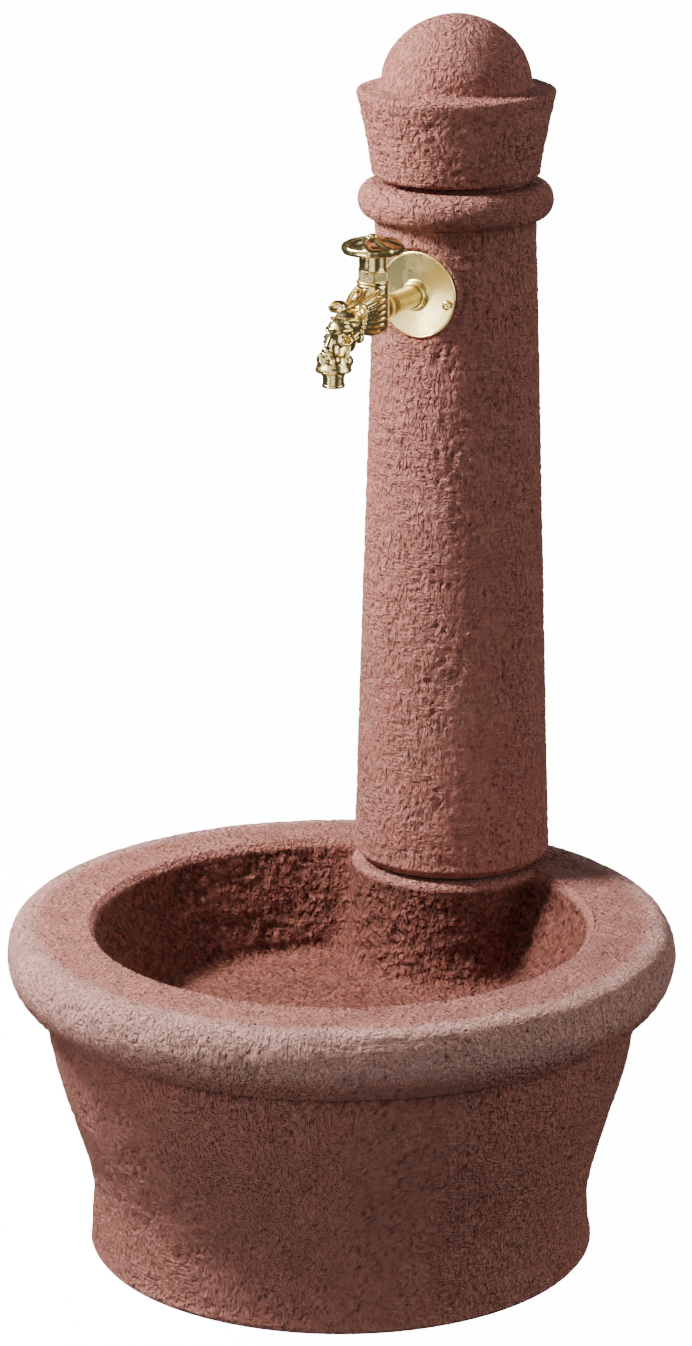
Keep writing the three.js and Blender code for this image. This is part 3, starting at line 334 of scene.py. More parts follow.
@dataclass(frozen=True)
class Metal(Finish):
    """A metal with cloudy wear, tarnish and fine marks."""

    bright: Place = (0.93, 0.74, 0.33)
    worn: Place = (0.84, 0.62, 0.24)
    tarnish: Place = (0.42, 0.27, 0.12)
    shine: float = 0.17
    dull: float = 0.27
    cloud: float = 12 * MM
    stain: float = 0.3
    ripple: float = 0.06 * MM
    scratch: float = 0.03 * MM

    def recipe(self, bench: Bench) -> Sockets:
        """The principled shader's inputs."""
        spot = bench.place()
        cloud = bench.grain(spot, self.cloud, 4, 0.6, 0.5)
        mark = bench.grain(spot, self.cloud * 0.16, 3, 0.65)
        wave = bench.grain(spot, self.cloud * 0.7, 2)
        base = bench.blend(cloud.ramped(0.4, 0.66), self.bright, self.worn)
        spoiled = (1.0 - cloud).ramped(0.52, 0.7) * mark.ramped(0.42, 0.62) * self.stain
        colour = bench.blend(spoiled, base, self.tarnish)
        level = self.shine + (self.dull - self.shine) * cloud.ramped(0.35, 0.7) + 0.25 * spoiled
        normal = bench.bump(mark, self.scratch, bench.bump(wave, self.ripple, strength=0.6), 0.5)
        return {"Base Color": colour, "Metallic": 1.0, "Roughness": level, "Normal": normal}


@dataclass(frozen=True)
class Moulded(Finish):
    """Rubber or plastic with a faint mould grain."""

    main: Place = (0.018, 0.018, 0.019)
    dust: Place = (0.07, 0.066, 0.062)
    matt: float = 0.62

    def recipe(self, bench: Bench) -> Sockets:
        """The principled shader's inputs."""
        spot = bench.place()
        cloud = bench.grain(spot, 6 * MM, 4, 0.6)
        pore = bench.grain(spot, 0.6 * MM, 2, 0.6)
        return {
            "Base Color": bench.blend(cloud.ramped(0.45, 0.75) * 0.8, self.main, self.dust),
            "Roughness": self.matt + 0.25 * pore,
            "Normal": bench.bump(pore, 0.05 * MM, strength=0.5),
        }


@dataclass(frozen=True)
class PaleGround(Finish):
    """A plain pale studio floor that glows evenly."""

    glow: float = 18.0

    def recipe(self, bench: Bench) -> Sockets:
        """The principled shader's inputs."""
        colour = bench.blend(bench.grain(bench.place(), 0.4, 3), (0.80, 0.795, 0.785), (0.83, 0.825, 0.815))
        glow = {"Emission Color": colour, "Emission Strength": self.glow}
        return {"Base Color": colour, "Roughness": 0.9, "Specular IOR Level": 0.1, **glow}


STONE = CastStone("cast_stone_body", Slot.STONE)
BASIN_STONE = CastStone(
    "cast_stone_basin",
    Slot.STONE,
    sand=4.4 * MM,
    grit=1.9 * MM,
    weave_depth=2.1 * MM,
    speckle=0.10,
    rim_speckle=0.42,
)
CAP_STONE = CastStone("cast_stone_cap", Slot.STONE, sand=4.0 * MM, weave_depth=1.2 * MM, streak=0.8)
BRASS = Metal("polished_brass", Slot.BRASS)
SATIN_BRASS = Metal(
    "satin_brass",
    Slot.BRASS,
    bright=(0.95, 0.77, 0.32),
    worn=(0.87, 0.66, 0.23),
    shine=0.24,
    dull=0.34,
    stain=0.0,
    cloud=26 * MM,
)
OLD_BRASS = Metal("plumbing_brass", Slot.BRASS, shine=0.3, dull=0.5, stain=0.8)
STEEL = Metal(
    "stainless_steel",
    Slot.STEEL,
    bright=(0.62, 0.62, 0.61),
    worn=(0.47, 0.47, 0.46),
    tarnish=(0.20, 0.185, 0.165),
    shine=0.2,
    dull=0.36,
)
COPPER = Metal(
    "copper_pipe",
    Slot.COPPER,
    bright=(0.80, 0.42, 0.27),
    worn=(0.56, 0.25, 0.14),
    tarnish=(0.17, 0.10, 0.07),
    shine=0.26,
    dull=0.46,
)
RUBBER = Moulded("black_rubber", Slot.RUBBER)
PLASTIC = Moulded("grey_plastic", Slot.PLASTIC, main=(0.42, 0.42, 0.40), dust=(0.30, 0.29, 0.27), matt=0.45)
GROUND = PaleGround("pale_ground", Slot.PLASTIC)


@lru_cache(maxsize=None)
def material_of(finish: Finish) -> bpy.types.Material:
    """Makes a finish's material once."""
    bench = Bench(finish.name)
    bench.plug(bench.shader, finish.recipe(bench))
    return bench.material


# ---- Mesh work ----


@dataclass
class Outline:
    """Half of a turned shape's section, as radius and height in millimetres."""

    points: list[Point] = field(default_factory=list)
    step: float = 3.0

    def to(self, *corners: Point, step: float | None = None) -> "Outline":
        """Draws straight lines, divided into short steps.

        Args:
            corners: the points to pass.
            step: the longest step; the outline's own if left out.

        Returns:
            The outline.
        """
        for corner in corners:
            if self.points:
                last = self.points[-1]
                count = max(1, math.ceil(math.dist(last, corner) / (step or self.step)))
                run, rise = corner[0] - last[0], corner[1] - last[1]
                for i in range(1, count + 1):
                    self.points.append((last[0] + run * i / count, last[1] + rise * i / count))
            else:
                self.points.append(corner)
        return self

    def bend(self, *pulls: Point) -> "Outline":
        """Draws a Bezier curve of any degree from the last point.

        Args:
            pulls: its control points and its end.

        Returns:
            The outline.
        """
        knots = [self.points[-1], *pulls]
        length = sum(math.dist(a, b) for a, b in zip(knots, knots[1:]))
        count = max(3, math.ceil(length / self.step))
        for i in range(1, count + 1):
            level = knots
            share = i / count
            while len(level) > 1:
                pairs = zip(level, level[1:])
                level = [(a[0] + (b[0] - a[0]) * share, a[1] + (b[1] - a[1]) * share) for a, b in pairs]
            self.points.append(level[0])
        return self

    def arc(self, middle: Point, size: Point, start: float, end: float) -> "Outline":
        """Draws an elliptical arc.

        Args:
            middle: its centre.
            size: its half width and half height.
            start: its first angle in degrees.
            end: its last angle.

        Returns:
            The outline.
        """
        count = max(4, math.ceil(math.radians(abs(end - start)) * max(size) / self.step))
        for i in range(count + 1):
            angle = math.radians(start + (end - start) * i / count)
            point = (middle[0] + size[0] * math.cos(angle), middle[1] + size[1] * math.sin(angle))
            if not self.points or math.dist(self.points[-1], point) > 1e-4:
                self.points.append(point)
        return self


class Workshop:
    """Makes, joins and finishes meshes."""

    SHARP = 38.0
    ROUNDS = 3

    @staticmethod
    def turned(outline: Outline, sides: int, centre: Place = (0.0, 0.0, 0.0), lying: bool = False) -> Mesh:
        """Spins an outline about its axis.

        Args:
            outline: the section.
            sides: steps round the axis.
            centre: where the axis and height 0 are, in millimetres.
            lying: whether the axis runs along +Y, as a wall fitting's does.

        Returns:
            The closed mesh, in metres.
        """
        bm = bmesh.new()
        verts = [bm.verts.new((radius * MM, 0.0, height * MM)) for radius, height in outline.points]
        edges = [bm.edges.new(pair) for pair in zip(verts, verts[1:])]
        bmesh.ops.spin(
            bm, geom=verts + edges, cent=(0, 0, 0), axis=(0, 0, 1), angle=2 * math.pi, steps=sides, use_merge=True
        )
        bmesh.ops.remove_doubles(bm, verts=bm.verts, dist=2e-6)
        bmesh.ops.dissolve_degenerate(bm, edges=bm.edges, dist=1e-7)
        bmesh.ops.recalc_face_normals(bm, faces=bm.faces)
        if lying:
            bmesh.ops.rotate(bm, verts=bm.verts, matrix=Matrix.Rotation(-math.pi / 2, 3, "X"))
        bmesh.ops.translate(bm, verts=bm.verts, vec=Vector(centre) * MM)
        return bm

    @staticmethod
    def rod(radius: float, low: float, high: float, centre: Point, sides: int = 64) -> Mesh:
        """An upright rod between two heights, in millimetres."""
        outline = Outline([(0, low)], step=500.0).to((radius, low), (radius, high), (0, high))
        return Workshop.turned(outline, sides, (*centre, 0.0))

    @staticmethod
    def block(low: Place, high: Place) -> Mesh:
        """A box between its lowest and highest corners, in millimetres."""
        bm = bmesh.new()
        size, middle = Vector(high) - Vector(low), (Vector(high) + Vector(low)) / 2
        matrix = Matrix.Translation(middle * MM) @ Matrix.Diagonal((*(size * MM), 1.0))
        bmesh.ops.create_cube(bm, size=1.0, matrix=matrix)
        return bm

    @staticmethod
    def placed(bm: Mesh, name: str) -> bpy.types.Object:
        """Turns a mesh into an object in the scene and frees it."""
        mesh = bpy.data.meshes.new(name)
        bm.to_mesh(mesh)
        bm.free()
        thing = bpy.data.objects.new(name, mesh)
        bpy.context.scene.collection.objects.link(thing)
        return thing

    @staticmethod
    def _applied(thing: bpy.types.Object) -> Mesh:
        """Reads an object with its modifiers and removes it."""
        bpy.context.view_layer.update()
        shown = thing.evaluated_get(bpy.context.evaluated_depsgraph_get())
        bm = bmesh.new()
        bm.from_mesh(shown.to_mesh())
        shown.to_mesh_clear()
        bpy.data.objects.remove(thing)
        return bm

    @classmethod
    def combined(cls, base: Mesh, tools: Iterable[Mesh], how: Joining = Joining.CUT) -> Mesh:
        """Cuts solids out of a solid, or adds them to it.

        Args:
            base: the solid.
            tools: the other solids, which are used up.
            how: whether to cut or add.

        Returns:
            The new solid.
        """
        for tool in tools:
            body, other = cls.placed(base, "body"), cls.placed(tool, "tool")
            step = body.modifiers.new("combine", "BOOLEAN")
            step.object, step.operation, step.solver = other, how.value, "MANIFOLD"
            base = cls._applied(body)
            bpy.data.objects.remove(other)
        return base

    @classmethod
    def melted(cls, bm: Mesh, voxel: float) -> Mesh:
        """Melts overlapping shapes into one even skin.

        Args:
            bm: the shapes, which are used up.
            voxel: the skin's resolution in millimetres.

        Returns:
            The skin.
        """
        body = cls.placed(bm, "melt")
        step = body.modifiers.new("melt", "REMESH")
        step.mode, step.voxel_size, step.use_smooth_shade = "VOXEL", voxel * MM, True
        even = body.modifiers.new("even", "SMOOTH")
        even.factor, even.iterations = 0.5, cls.ROUNDS
        return cls._applied(body)

    @staticmethod
    def pour(source: Mesh, target: Mesh) -> None:
        """Adds one mesh to another and frees it."""
        scratch = bpy.data.meshes.new("scratch")
        source.to_mesh(scratch)
        source.free()
        target.from_mesh(scratch)
        bpy.data.meshes.remove(scratch)

    @classmethod
    def gather(cls, parts: Iterable[Mesh]) -> Mesh:
        """Puts several meshes in one, unjoined, and frees them."""
        whole = bmesh.new()
        for part in parts:
            cls.pour(part, whole)
        return whole

    @classmethod
    def piece(
        cls, name: str, bm: Mesh, finish: Finish, node: str, body: Rider = Rider.STONEWORK, sharp: float = SHARP
    ) -> None:
        """Finishes a piece of the fountain and gives it its place.

        Args:
            name: the piece's name.
            bm: its mesh, which is used up.
            finish: its finish.
            node: the CAD node that it stands for.
            body: what it rides on.
            sharp: edges bent more than this many degrees stay crisp.
        """
        for face in bm.faces:
            face.smooth = True
        for edge in bm.edges:
            edge.smooth = not (len(edge.link_faces) == 2 and edge.calc_face_angle(0.0) > math.radians(sharp))
        triangles = sum(len(face.verts) - 2 for face in bm.faces)
        thing = cls.placed(bm, name)
        thing.data.materials.append(material_of(finish))
        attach(thing, body.value)
        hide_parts(node)
        log.info("%s: %d triangles on %s", name, triangles, body.value)


def dress(finish: Finish, *nodes: str) -> None:
    """Gives the named CAD nodes a finish."""
    for name in nodes:
        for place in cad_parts[name].material_slots:
            place.material = material_of(finish)
        log.info("%s: CAD shape with the finish %s", name, finish.name)


# ---- Stone relief ----


def eased(value: float, low: float, high: float) -> float:
    """A smooth step from 0 at the low value to 1 at the high one."""
    share = min(1.0, max(0.0, (value - low) / (high - low)))
    return share * share * (3 - 2 * share)


def from_axis(spot: Vector, back: float = 0.0) -> float:
    """How far a point is from the upright axis that many millimetres behind the origin."""
    return math.hypot(spot.x, spot.y - back * MM) / MM


def dowel_holes(low: float, high: float) -> list[Mesh]:
    """What is drilled for the two dowels under the column."""
    return [Workshop.rod(DOWEL_HOLE, low, high, (side * DOWEL_REACH, COLUMN_BACK), 24) for side in (-1, 1)]


@dataclass(frozen=True)
class Relief:
    """Lumps, flakes and pits that the mould left in the stone, in millimetres."""

    lump: float = 7.0
    depth: float = 2.2
    squeeze: float = 0.75
    pit: float = 1.4
    swell: float = 0.8
    swell_size: float = 70.0
    groove: float = 0.0
    ripple: float = 0.0

    def carve(self, place: Vector) -> float:
        """How deep the surface is carved.

        Args:
            place: a point of the surface in metres.

        Returns:
            The depth in millimetres, never below 0.
        """
        spot = Vector((place.x, place.y, place.z * self.squeeze)) / (self.lump * MM)
        lumps = 0.5 - 0.85 * noise.fractal(spot, 0.8, 2.1, 3)
        broken = eased(noise.noise(place / (30 * MM) + Vector((7.1, 3.3, 9.7))), -0.25, 0.3)
        pits = eased(noise.noise(spot * 1.2 + Vector((31.0, 11.0, 5.0))), 0.22, 0.5)
        swell = 0.5 + 0.5 * noise.noise(place / (self.swell_size * MM))
        rough = min(1.0, max(0.0, lumps))
        total = self.depth * rough * (0.4 + 0.6 * broken) + self.pit * pits * (0.25 + 0.75 * broken)
        total += self.swell * swell
        for depth, stretch, size in ((self.groove, 0.12, 4.6), (self.ripple, 5.0, 24.0)):
            if depth:
                streak = noise.noise(Vector((place.x, place.y, place.z * stretch)) / (size * MM))
                total += depth * eased(streak, 0.0, 0.5)
        return total


def carve_stone(
    bm: Mesh,
    depth_at: Callable[[Vector, Vector], float],
    full: float,
    zones: dict[str, Callable[[Vector], float]] | None = None,
) -> None:
    """Sinks the skin along its normals, and keeps as attributes its hollows and crests, which the stone's colour
    darkens as painted shade and lightens as painted highlight, and the zones of its finish, among them painted shade
    and highlight.

    Args:
        bm: the mesh, changed in place.
        depth_at: gives the depth in millimetres at a point with its normal.
        full: how far a point lies below its neighbours, in millimetres, where the attribute carve goes
            from its level value, a half, to 1.
        zones: each attribute's name, with how much a point belongs to that zone, from 0 to 1.
    """
    bm.normal_update()
    bm.verts.layers.float.new("carve")  # before the moves are listed, because a new layer renews the vertices
    for name, share_at in (zones or {}).items():
        zone = bm.verts.layers.float.new(name)
        for vert in bm.verts:
            vert[zone] = share_at(vert.co)
    moves = [(vert, depth_at(vert.co, vert.normal), vert.normal.copy()) for vert in bm.verts]
    for vert, depth, normal in moves:
        vert.co -= normal * (depth * MM)
    layer = bm.verts.layers.float["carve"]
    for vert, depth, normal in moves:
        around = [edge.other_vert(vert).co for edge in vert.link_edges if edge.calc_length() < 6.0 * MM]
        if not depth or not around:
            vert[layer] = 0.5
            continue
        middle = sum(around, Vector()) / len(around)
        below = (middle - vert.co).dot(normal) / MM
        vert[layer] = min(1.0, max(0.0, 0.5 + 0.5 * below / full))


# ---- Basin ----


@dataclass
class Basin:
    """The round basin with its bowl, rim, foot and the pedestal for the column. Sizes in millimetres."""

    rim: float = 305.0
    height: float = 306.5
    mouth: float = 229.0
    lip_chamfer: float = 6.5
    seam: float = 243.0
    foot: float = 231.0
    floor: float = 204.0
    ceiling: float = 160.0
    bowl_floor: float = 190.0
    hollow: float = 185.0
    outer_skin: float = 214.0
    duct_guard: float = 40.0
    drain_guard: float = 42.0
    bed: float = 72.5
    pedestal: float = 94.0
    drain: float = -75.0
    sides: int = 432
    side_relief: Relief = Relief(lump=6.5, depth=1.6, squeeze=0.85, pit=1.2, swell=3.6, swell_size=85.0)
    wall_relief: Relief = Relief(lump=8.5, depth=3.6, squeeze=0.9, pit=1.6, swell=0.6, swell_size=50.0)
    lip_relief: Relief = Relief(lump=5.4, depth=1.1, squeeze=1.0, pit=1.5, swell=0.5, swell_size=60.0)

    def _shell(self) -> Mesh:
        """The outside and the hollow underside."""
        low, top = self.foot - 2.0, self.rim - 33.0
        rise = self.seam - 7.0 - 50.0
        outline = Outline([(0.0, self.ceiling)], step=3.2)
        outline.to((self.hollow - 20.0, self.ceiling), (self.hollow - 7.0, self.ceiling - 13.0), step=24.0)
        outline.to((self.hollow, 0.0), step=24.0)
        outline.to((self.foot - 3.0, 0.0), step=12.0).to((self.foot, 3.0), (low, 50.0))
        waist, shoulder = (low + 3.0, 50.0 + 0.3 * rise), (top - 7.0, 50.0 + 0.54 * rise)
        outline.bend(waist, shoulder, (top, self.seam - 7.0))
        outline.to((self.rim - 23.0, self.seam), (self.rim - 18.0, self.seam))
        outline.bend((self.rim - 4.0, self.seam + 9.0), (self.rim, self.height - 30.0))
        outline.bend((self.rim, self.height), (self.rim - 21.0, self.height))
        outline.to((self.mouth - 12.0, self.height)).to((0.0, self.height), step=120.0)
        return Workshop.turned(outline, self.sides)

    def _bowl(self) -> Mesh:
        """The space in the bowl, round the pedestal."""
        edge = self.floor + 4.0
        outline = Outline([(0.0, self.floor)], step=3.4)
        outline.to((self.bowl_floor - 12.0, edge), step=6.0)
        outline.bend((self.bowl_floor, edge), (self.bowl_floor, edge + 12.0))
        outline.to((self.mouth - self.lip_chamfer, self.height - self.lip_chamfer))
        outline.to((self.mouth, self.height), step=2.2).to((self.mouth + 8.0, self.height + 8.0))
        outline.to((0.0, self.height + 8.0), step=300.0)
        space = Workshop.turned(outline, self.sides)
        return Workshop.combined(space, [self._pedestal()])

    def _pedestal(self) -> Mesh:
        """The block that carries the column."""
        edge = self.floor + 4.0
        outline = Outline([(0.0, 150.0)], step=3.4)
        outline.to((self.pedestal + 13.0, 150.0), (self.pedestal + 13.0, edge), step=60.0)
        outline.bend((self.pedestal, edge + 12.0), (self.pedestal, self.height - 9.0))
        outline.bend((self.pedestal, self.height), (self.pedestal - 9.0, self.height))
        outline.to((0.0, self.height), step=60.0)
        return Workshop.turned(outline, 190, (0.0, COLUMN_BACK, 0.0))

    def _holes(self) -> list[Mesh]:
        """The drain, the duct, the dowel holes and the inlet pocket."""
        back, base = COLUMN_BACK, self.ceiling
        return [
            Workshop.rod(24.0, base - 8.0, self.height, (0.0, self.drain)),
            Workshop.rod(38.6, self.floor - 6.5, self.height, (0.0, self.drain), 96),
            Workshop.block((-26.0, back - 117.0, base - 20.0), (26.0, back + 22.0, base + 30.0)),
            Workshop.rod(18.0, base, self.height + 8.0, (0.0, back)),
            *dowel_holes(self.height - DOWEL_DEPTH, self.height + 8.0),
        ]

    def _wall(self, height: float) -> float:
        """The bowl's radius at a height."""
        return self.bowl_floor + (self.mouth - self.bowl_floor - self.lip_chamfer) * (height - self.floor - 16.0) / 80.0

    def _fill_corner(self, bm: Mesh) -> None:
        """Rounds the corner where the pedestal runs into the bowl's wall and floor."""

        def near(vert: bmesh.types.BMVert, reach: float) -> bool:
            """Whether a point lies by that corner."""
            height, radius = vert.co.z / MM, from_axis(vert.co)
            gap = abs(from_axis(vert.co, COLUMN_BACK) - self.pedestal)
            return (
                self.floor + 2.0 < height < self.height - 4.0
                and vert.co.y > 0.05
                and gap < reach + (6.0 if height < 225.0 else 0.0)
                and (abs(radius - self._wall(height)) < reach or height < 222.0)
                and radius < self.mouth + 1.0
            )

        zone = [vert for vert in bm.verts if near(vert, 16.0)]
        bmesh.ops.remove_doubles(bm, verts=zone, dist=1.1 * MM)
        for reach, rounds in ((22.0, 10), (17.0, 14), (12.0, 16)):
            zone = [vert for vert in bm.verts if near(vert, reach)]
            for _ in range(rounds):
                axes = {f"use_axis_{name}": True for name in "xyz"}
                bmesh.ops.smooth_vert(bm, verts=zone, factor=0.5, **axes)

    def _depth(self, spot: Vector, normal: Vector) -> float:
        """How deep the basin's skin is carved at a point."""
        height, radius = spot.z / MM, from_axis(spot)
        if height < 0.6 or (radius < self.hollow + 1.0 and height < self.ceiling + 35.0):
            return 0.0
        drain, post = from_axis(spot, self.drain), from_axis(spot, COLUMN_BACK)
        outside = radius > self.outer_skin and normal.x * spot.x + normal.y * spot.y > 0.0
        if drain < self.drain_guard and height < self.floor + 2.0 or post < self.duct_guard and not outside:
            return 0.0
        if height > self.height - 40.0 and post < self.bed:
            return 0.0
        level = eased(abs(normal.z), 0.55, 0.95)
        if radius < self.mouth + 0.5 and height > self.floor - 2.0:
            wall = self.wall_relief.carve(spot) * (1.0 - 0.85 * level)
            floor = 0.5 * self.lip_relief.carve(spot) * level
            edge = eased(self.height - height, 3.0, 14.0)
            return (wall + floor) * (0.12 + 0.88 * edge)
        side = self.side_relief.carve(spot) * (1.0 - level)
        return side * (0.25 + 0.75 * eased(height, 2.0, 14.0)) + self.lip_relief.carve(spot) * level

    def _bowl_shade(self, spot: Vector) -> float:
        """How much a point belongs to the bowl, whose inside is painted darker as shade, with less on its floor."""
        height, radius = spot.z / MM, from_axis(spot)
        under = height < self.floor - (4.0 if radius < self.hollow + 1.0 else 8.0)
        top = height > self.height - 6.0 and from_axis(spot, COLUMN_BACK) < self.pedestal - 3.5
        if radius > self.mouth - 1.0 or under or top:
            return 0.0
        rise = eased(height, self.floor + 4.0, self.floor + 30.0)
        return (0.78 + 0.22 * rise) * (1.0 - eased(height, self.height - 9.0, self.height - 4.0))

    def _bleached_lit_lip(self, spot: Vector) -> float:
        """How pale the rim's rounded lip is at a point: partly bleached stone, partly a painted highlight where light
        catches the lip.
        """
        height, radius = spot.z / MM, from_axis(spot)
        lip = eased(height, self.seam + 8.0, self.seam + 34.0)
        return lip * eased(radius, self.rim - 36.0, self.rim - 20.0)

    def _rim(self, spot: Vector) -> float:
        """How much a point belongs to the rim, above the seam and outside the bowl."""
        return eased(spot.z / MM, self.seam + 4.0, self.seam + 16.0) * (1.0 - self._bowl_shade(spot))

    def build(self) -> None:
        """Builds the basin."""
        bm = Workshop.combined(self._shell(), [self._bowl(), *self._holes()])
        bmesh.ops.remove_doubles(bm, verts=bm.verts, dist=0.02 * MM)
        self._fill_corner(bm)
        # the bowl zone darkens the bowl's inside as painted shade
        # the worn zone pales the rim's lip, partly as bleached stone and partly as a painted highlight
        carve_stone(bm, self._depth, 0.8, {"bowl": self._bowl_shade, "worn": self._bleached_lit_lip, "rim": self._rim})
        Workshop.piece("stone_basin", bm, BASIN_STONE, "basin", sharp=70.0)


# ---- Column and cap ----


@dataclass
class Column:
    """The tapered column with its collar and the boss for the rosette. Sizes in millimetres."""

    bottom: float = 309.5
    top: float = 951.0
    foot: float = 92.0
    neck: float = 74.2
    neck_top: float = 911.0
    chamfer: float = 8.0
    collar: float = 15.4
    seat: float = 64.0
    bore: float = 46.0
    boss: float = 42.0
    boss_face: float = 140.2
    sides: int = 268
    relief: Relief = Relief(
        lump=5.4, depth=1.35, squeeze=0.8, pit=1.3, swell=0.3, swell_size=60.0, groove=0.5, ripple=0.4
    )

    def _body(self) -> Mesh:
        """The turned column."""
        middle = self.top - 2.5 - 16.0
        outline = Outline([(self.bore, self.bottom)], step=2.2)
        outline.to((self.foot - self.chamfer, self.bottom), step=12.0)
        outline.to((self.foot, self.bottom + self.chamfer), (self.neck, self.neck_top))
        outline.to((self.neck + 2.0, self.neck_top + 5.5))
        outline.arc((self.neck + 2.0, middle), (self.collar - 2.0, 16.0), -90.0, 90.0)
        outline.to((self.seat, self.top - 2.5)).to((self.seat, self.top), (self.bore, self.top), step=9.0)
        outline.to((self.bore, self.bottom), step=60.0)
        return Workshop.turned(outline, self.sides, (0.0, COLUMN_BACK, 0.0))

    @staticmethod
    def _lying_rod(radius: float, near: float, far: float, sides: int, x: float = 0.0, z: float = 0.0) -> Mesh:
        """A rod along Y at the tap's height.

        Args:
            radius: its radius.
            near: its front end.
            far: its back end.
            sides: steps round it.
            x: how far to the right.
            z: how far up.

        Returns:
            The mesh.
        """
        outline = Outline([(0, near)], step=400.0)
        outline.to((radius, near), (radius, far), (0, far))
        return Workshop.turned(outline, sides, (x, 0.0, TAP_HEIGHT + z), lying=True)

    def _depth(self, spot: Vector, normal: Vector) -> float:
        """How deep the column's skin is carved at a point."""
        height, radius = spot.z / MM, from_axis(spot, COLUMN_BACK)
        if radius < self.seat + 1.0 or height < self.bottom + 0.5:
            return 0.0
        from_tap = math.hypot(spot.x, spot.z - TAP_HEIGHT * MM) / MM
        if from_tap < self.boss + 3.0 and spot.y < (COLUMN_BACK - 40.0) * MM:
            return 0.0
        level = eased(abs(normal.z), 0.35, 0.9)
        share = (1.0 - 0.7 * level) * (0.3 + 0.7 * eased(height, self.bottom + 6.0, self.bottom + 16.0))
        near_boss = eased(from_tap, self.boss + 2.0, self.boss + 12.0) if spot.y < COLUMN_BACK * MM else 1.0
        collar = 1.0 - 0.45 * eased(height, self.neck_top - 2.0, self.neck_top + 8.0)
        return self.relief.carve(spot) * share * (0.3 + 0.7 * near_boss) * collar

    def build(self) -> None:
        """Builds the column."""
        boss = Workshop.combined(
            self._lying_rod(self.boss, self.boss_face, 165.7, 96),
            [Workshop.rod(self.bore, self.bottom, self.top, (0.0, COLUMN_BACK), self.sides)],
        )
        bm = Workshop.combined(self._body(), [boss], Joining.ADD)
        cuts = [
            self._lying_rod(self.boss + 0.3, 100.0, self.boss_face, 96),
            self._lying_rod(12.0, 100.0, 180.0, 48),
            *(self._lying_rod(3.3, 120.0, self.boss_face + 24.3, 24, 31.85 * s, -6.48 * s) for s in (-1, 1)),
            *dowel_holes(300.0, self.bottom + DOWEL_DEPTH),
        ]
        bm = Workshop.combined(bm, cuts)
        bmesh.ops.remove_doubles(bm, verts=bm.verts, dist=0.02 * MM)
        carve_stone(bm, self._depth, 0.7)
        Workshop.piece("stone_column", bm, STONE, "column", sharp=70.0)


@dataclass
class Cap:
    """The flared cap with its dome. Sizes in millimetres."""

    bottom: float = 954.0
    foot: float = 77.0
    edge: float = 91.0
    flare: float = 75.0
    dome: float = 69.0
    dome_height: float = 64.0
    sides: int = 300
    flare_relief: Relief = Relief(
        lump=5.0, depth=1.4, squeeze=0.7, pit=1.3, swell=0.3, swell_size=55.0, groove=0.7, ripple=0.7
    )
    dome_relief: Relief = Relief(lump=4.4, depth=0.9, squeeze=1.0, pit=0.6, swell=0.5, swell_size=50.0)

    def _body(self) -> Mesh:
        """The turned cap."""
        edge, plug = self.bottom + self.flare, self.bottom - 20.0
        ledge = edge + 5.0
        outline = Outline([(0.0, plug)], step=1.9)
        outline.to((42.0, plug), step=20.0).to((44.0, plug + 2.0), (44.0, self.bottom), step=9.0)
        outline.to((self.foot - 3.0, self.bottom), step=8.0).to((self.foot, self.bottom + 3.0))
        outline.bend((self.foot + 5.0, self.bottom + self.flare / 2), (self.edge, edge))
        outline.bend((self.edge, ledge), (self.edge - 5.0, ledge))
        outline.to((self.dome + 3.0, ledge + 1.6)).bend((self.dome, ledge + 2.0), (self.dome, ledge + 5.0))
        outline.arc((0.0, ledge + 2.0), (self.dome, self.dome_height), 4.0, 90.0)
        return Workshop.turned(outline, self.sides, (0.0, COLUMN_BACK, 0.0))

    def _depth(self, spot: Vector, normal: Vector) -> float:
        """How deep the cap's skin is carved at a point."""
        height, radius = spot.z / MM, from_axis(spot, COLUMN_BACK)
        if height < self.bottom + 0.4:
            return 0.0
        ledge = self.bottom + self.flare + 5.0
        if height < ledge - 1.0 and radius > self.foot - 4.0:
            band = 0.35 + 0.65 * eased(height, self.bottom, self.bottom + 6.0)
            return self.flare_relief.carve(spot) * band * (1.0 - 0.55 * eased(height, ledge - 16.0, ledge - 6.0))
        crown = eased(height, ledge + 62.0, ledge + 66.0)
        return self.dome_relief.carve(spot) * (1.0 - crown)

    def build(self) -> None:
        """Builds the cap."""
        bm = self._body()
        carve_stone(bm, self._depth, 0.6)
        Workshop.piece("stone_cap", bm, CAP_STONE, "cap", sharp=60.0)


# ---- Rosette ----


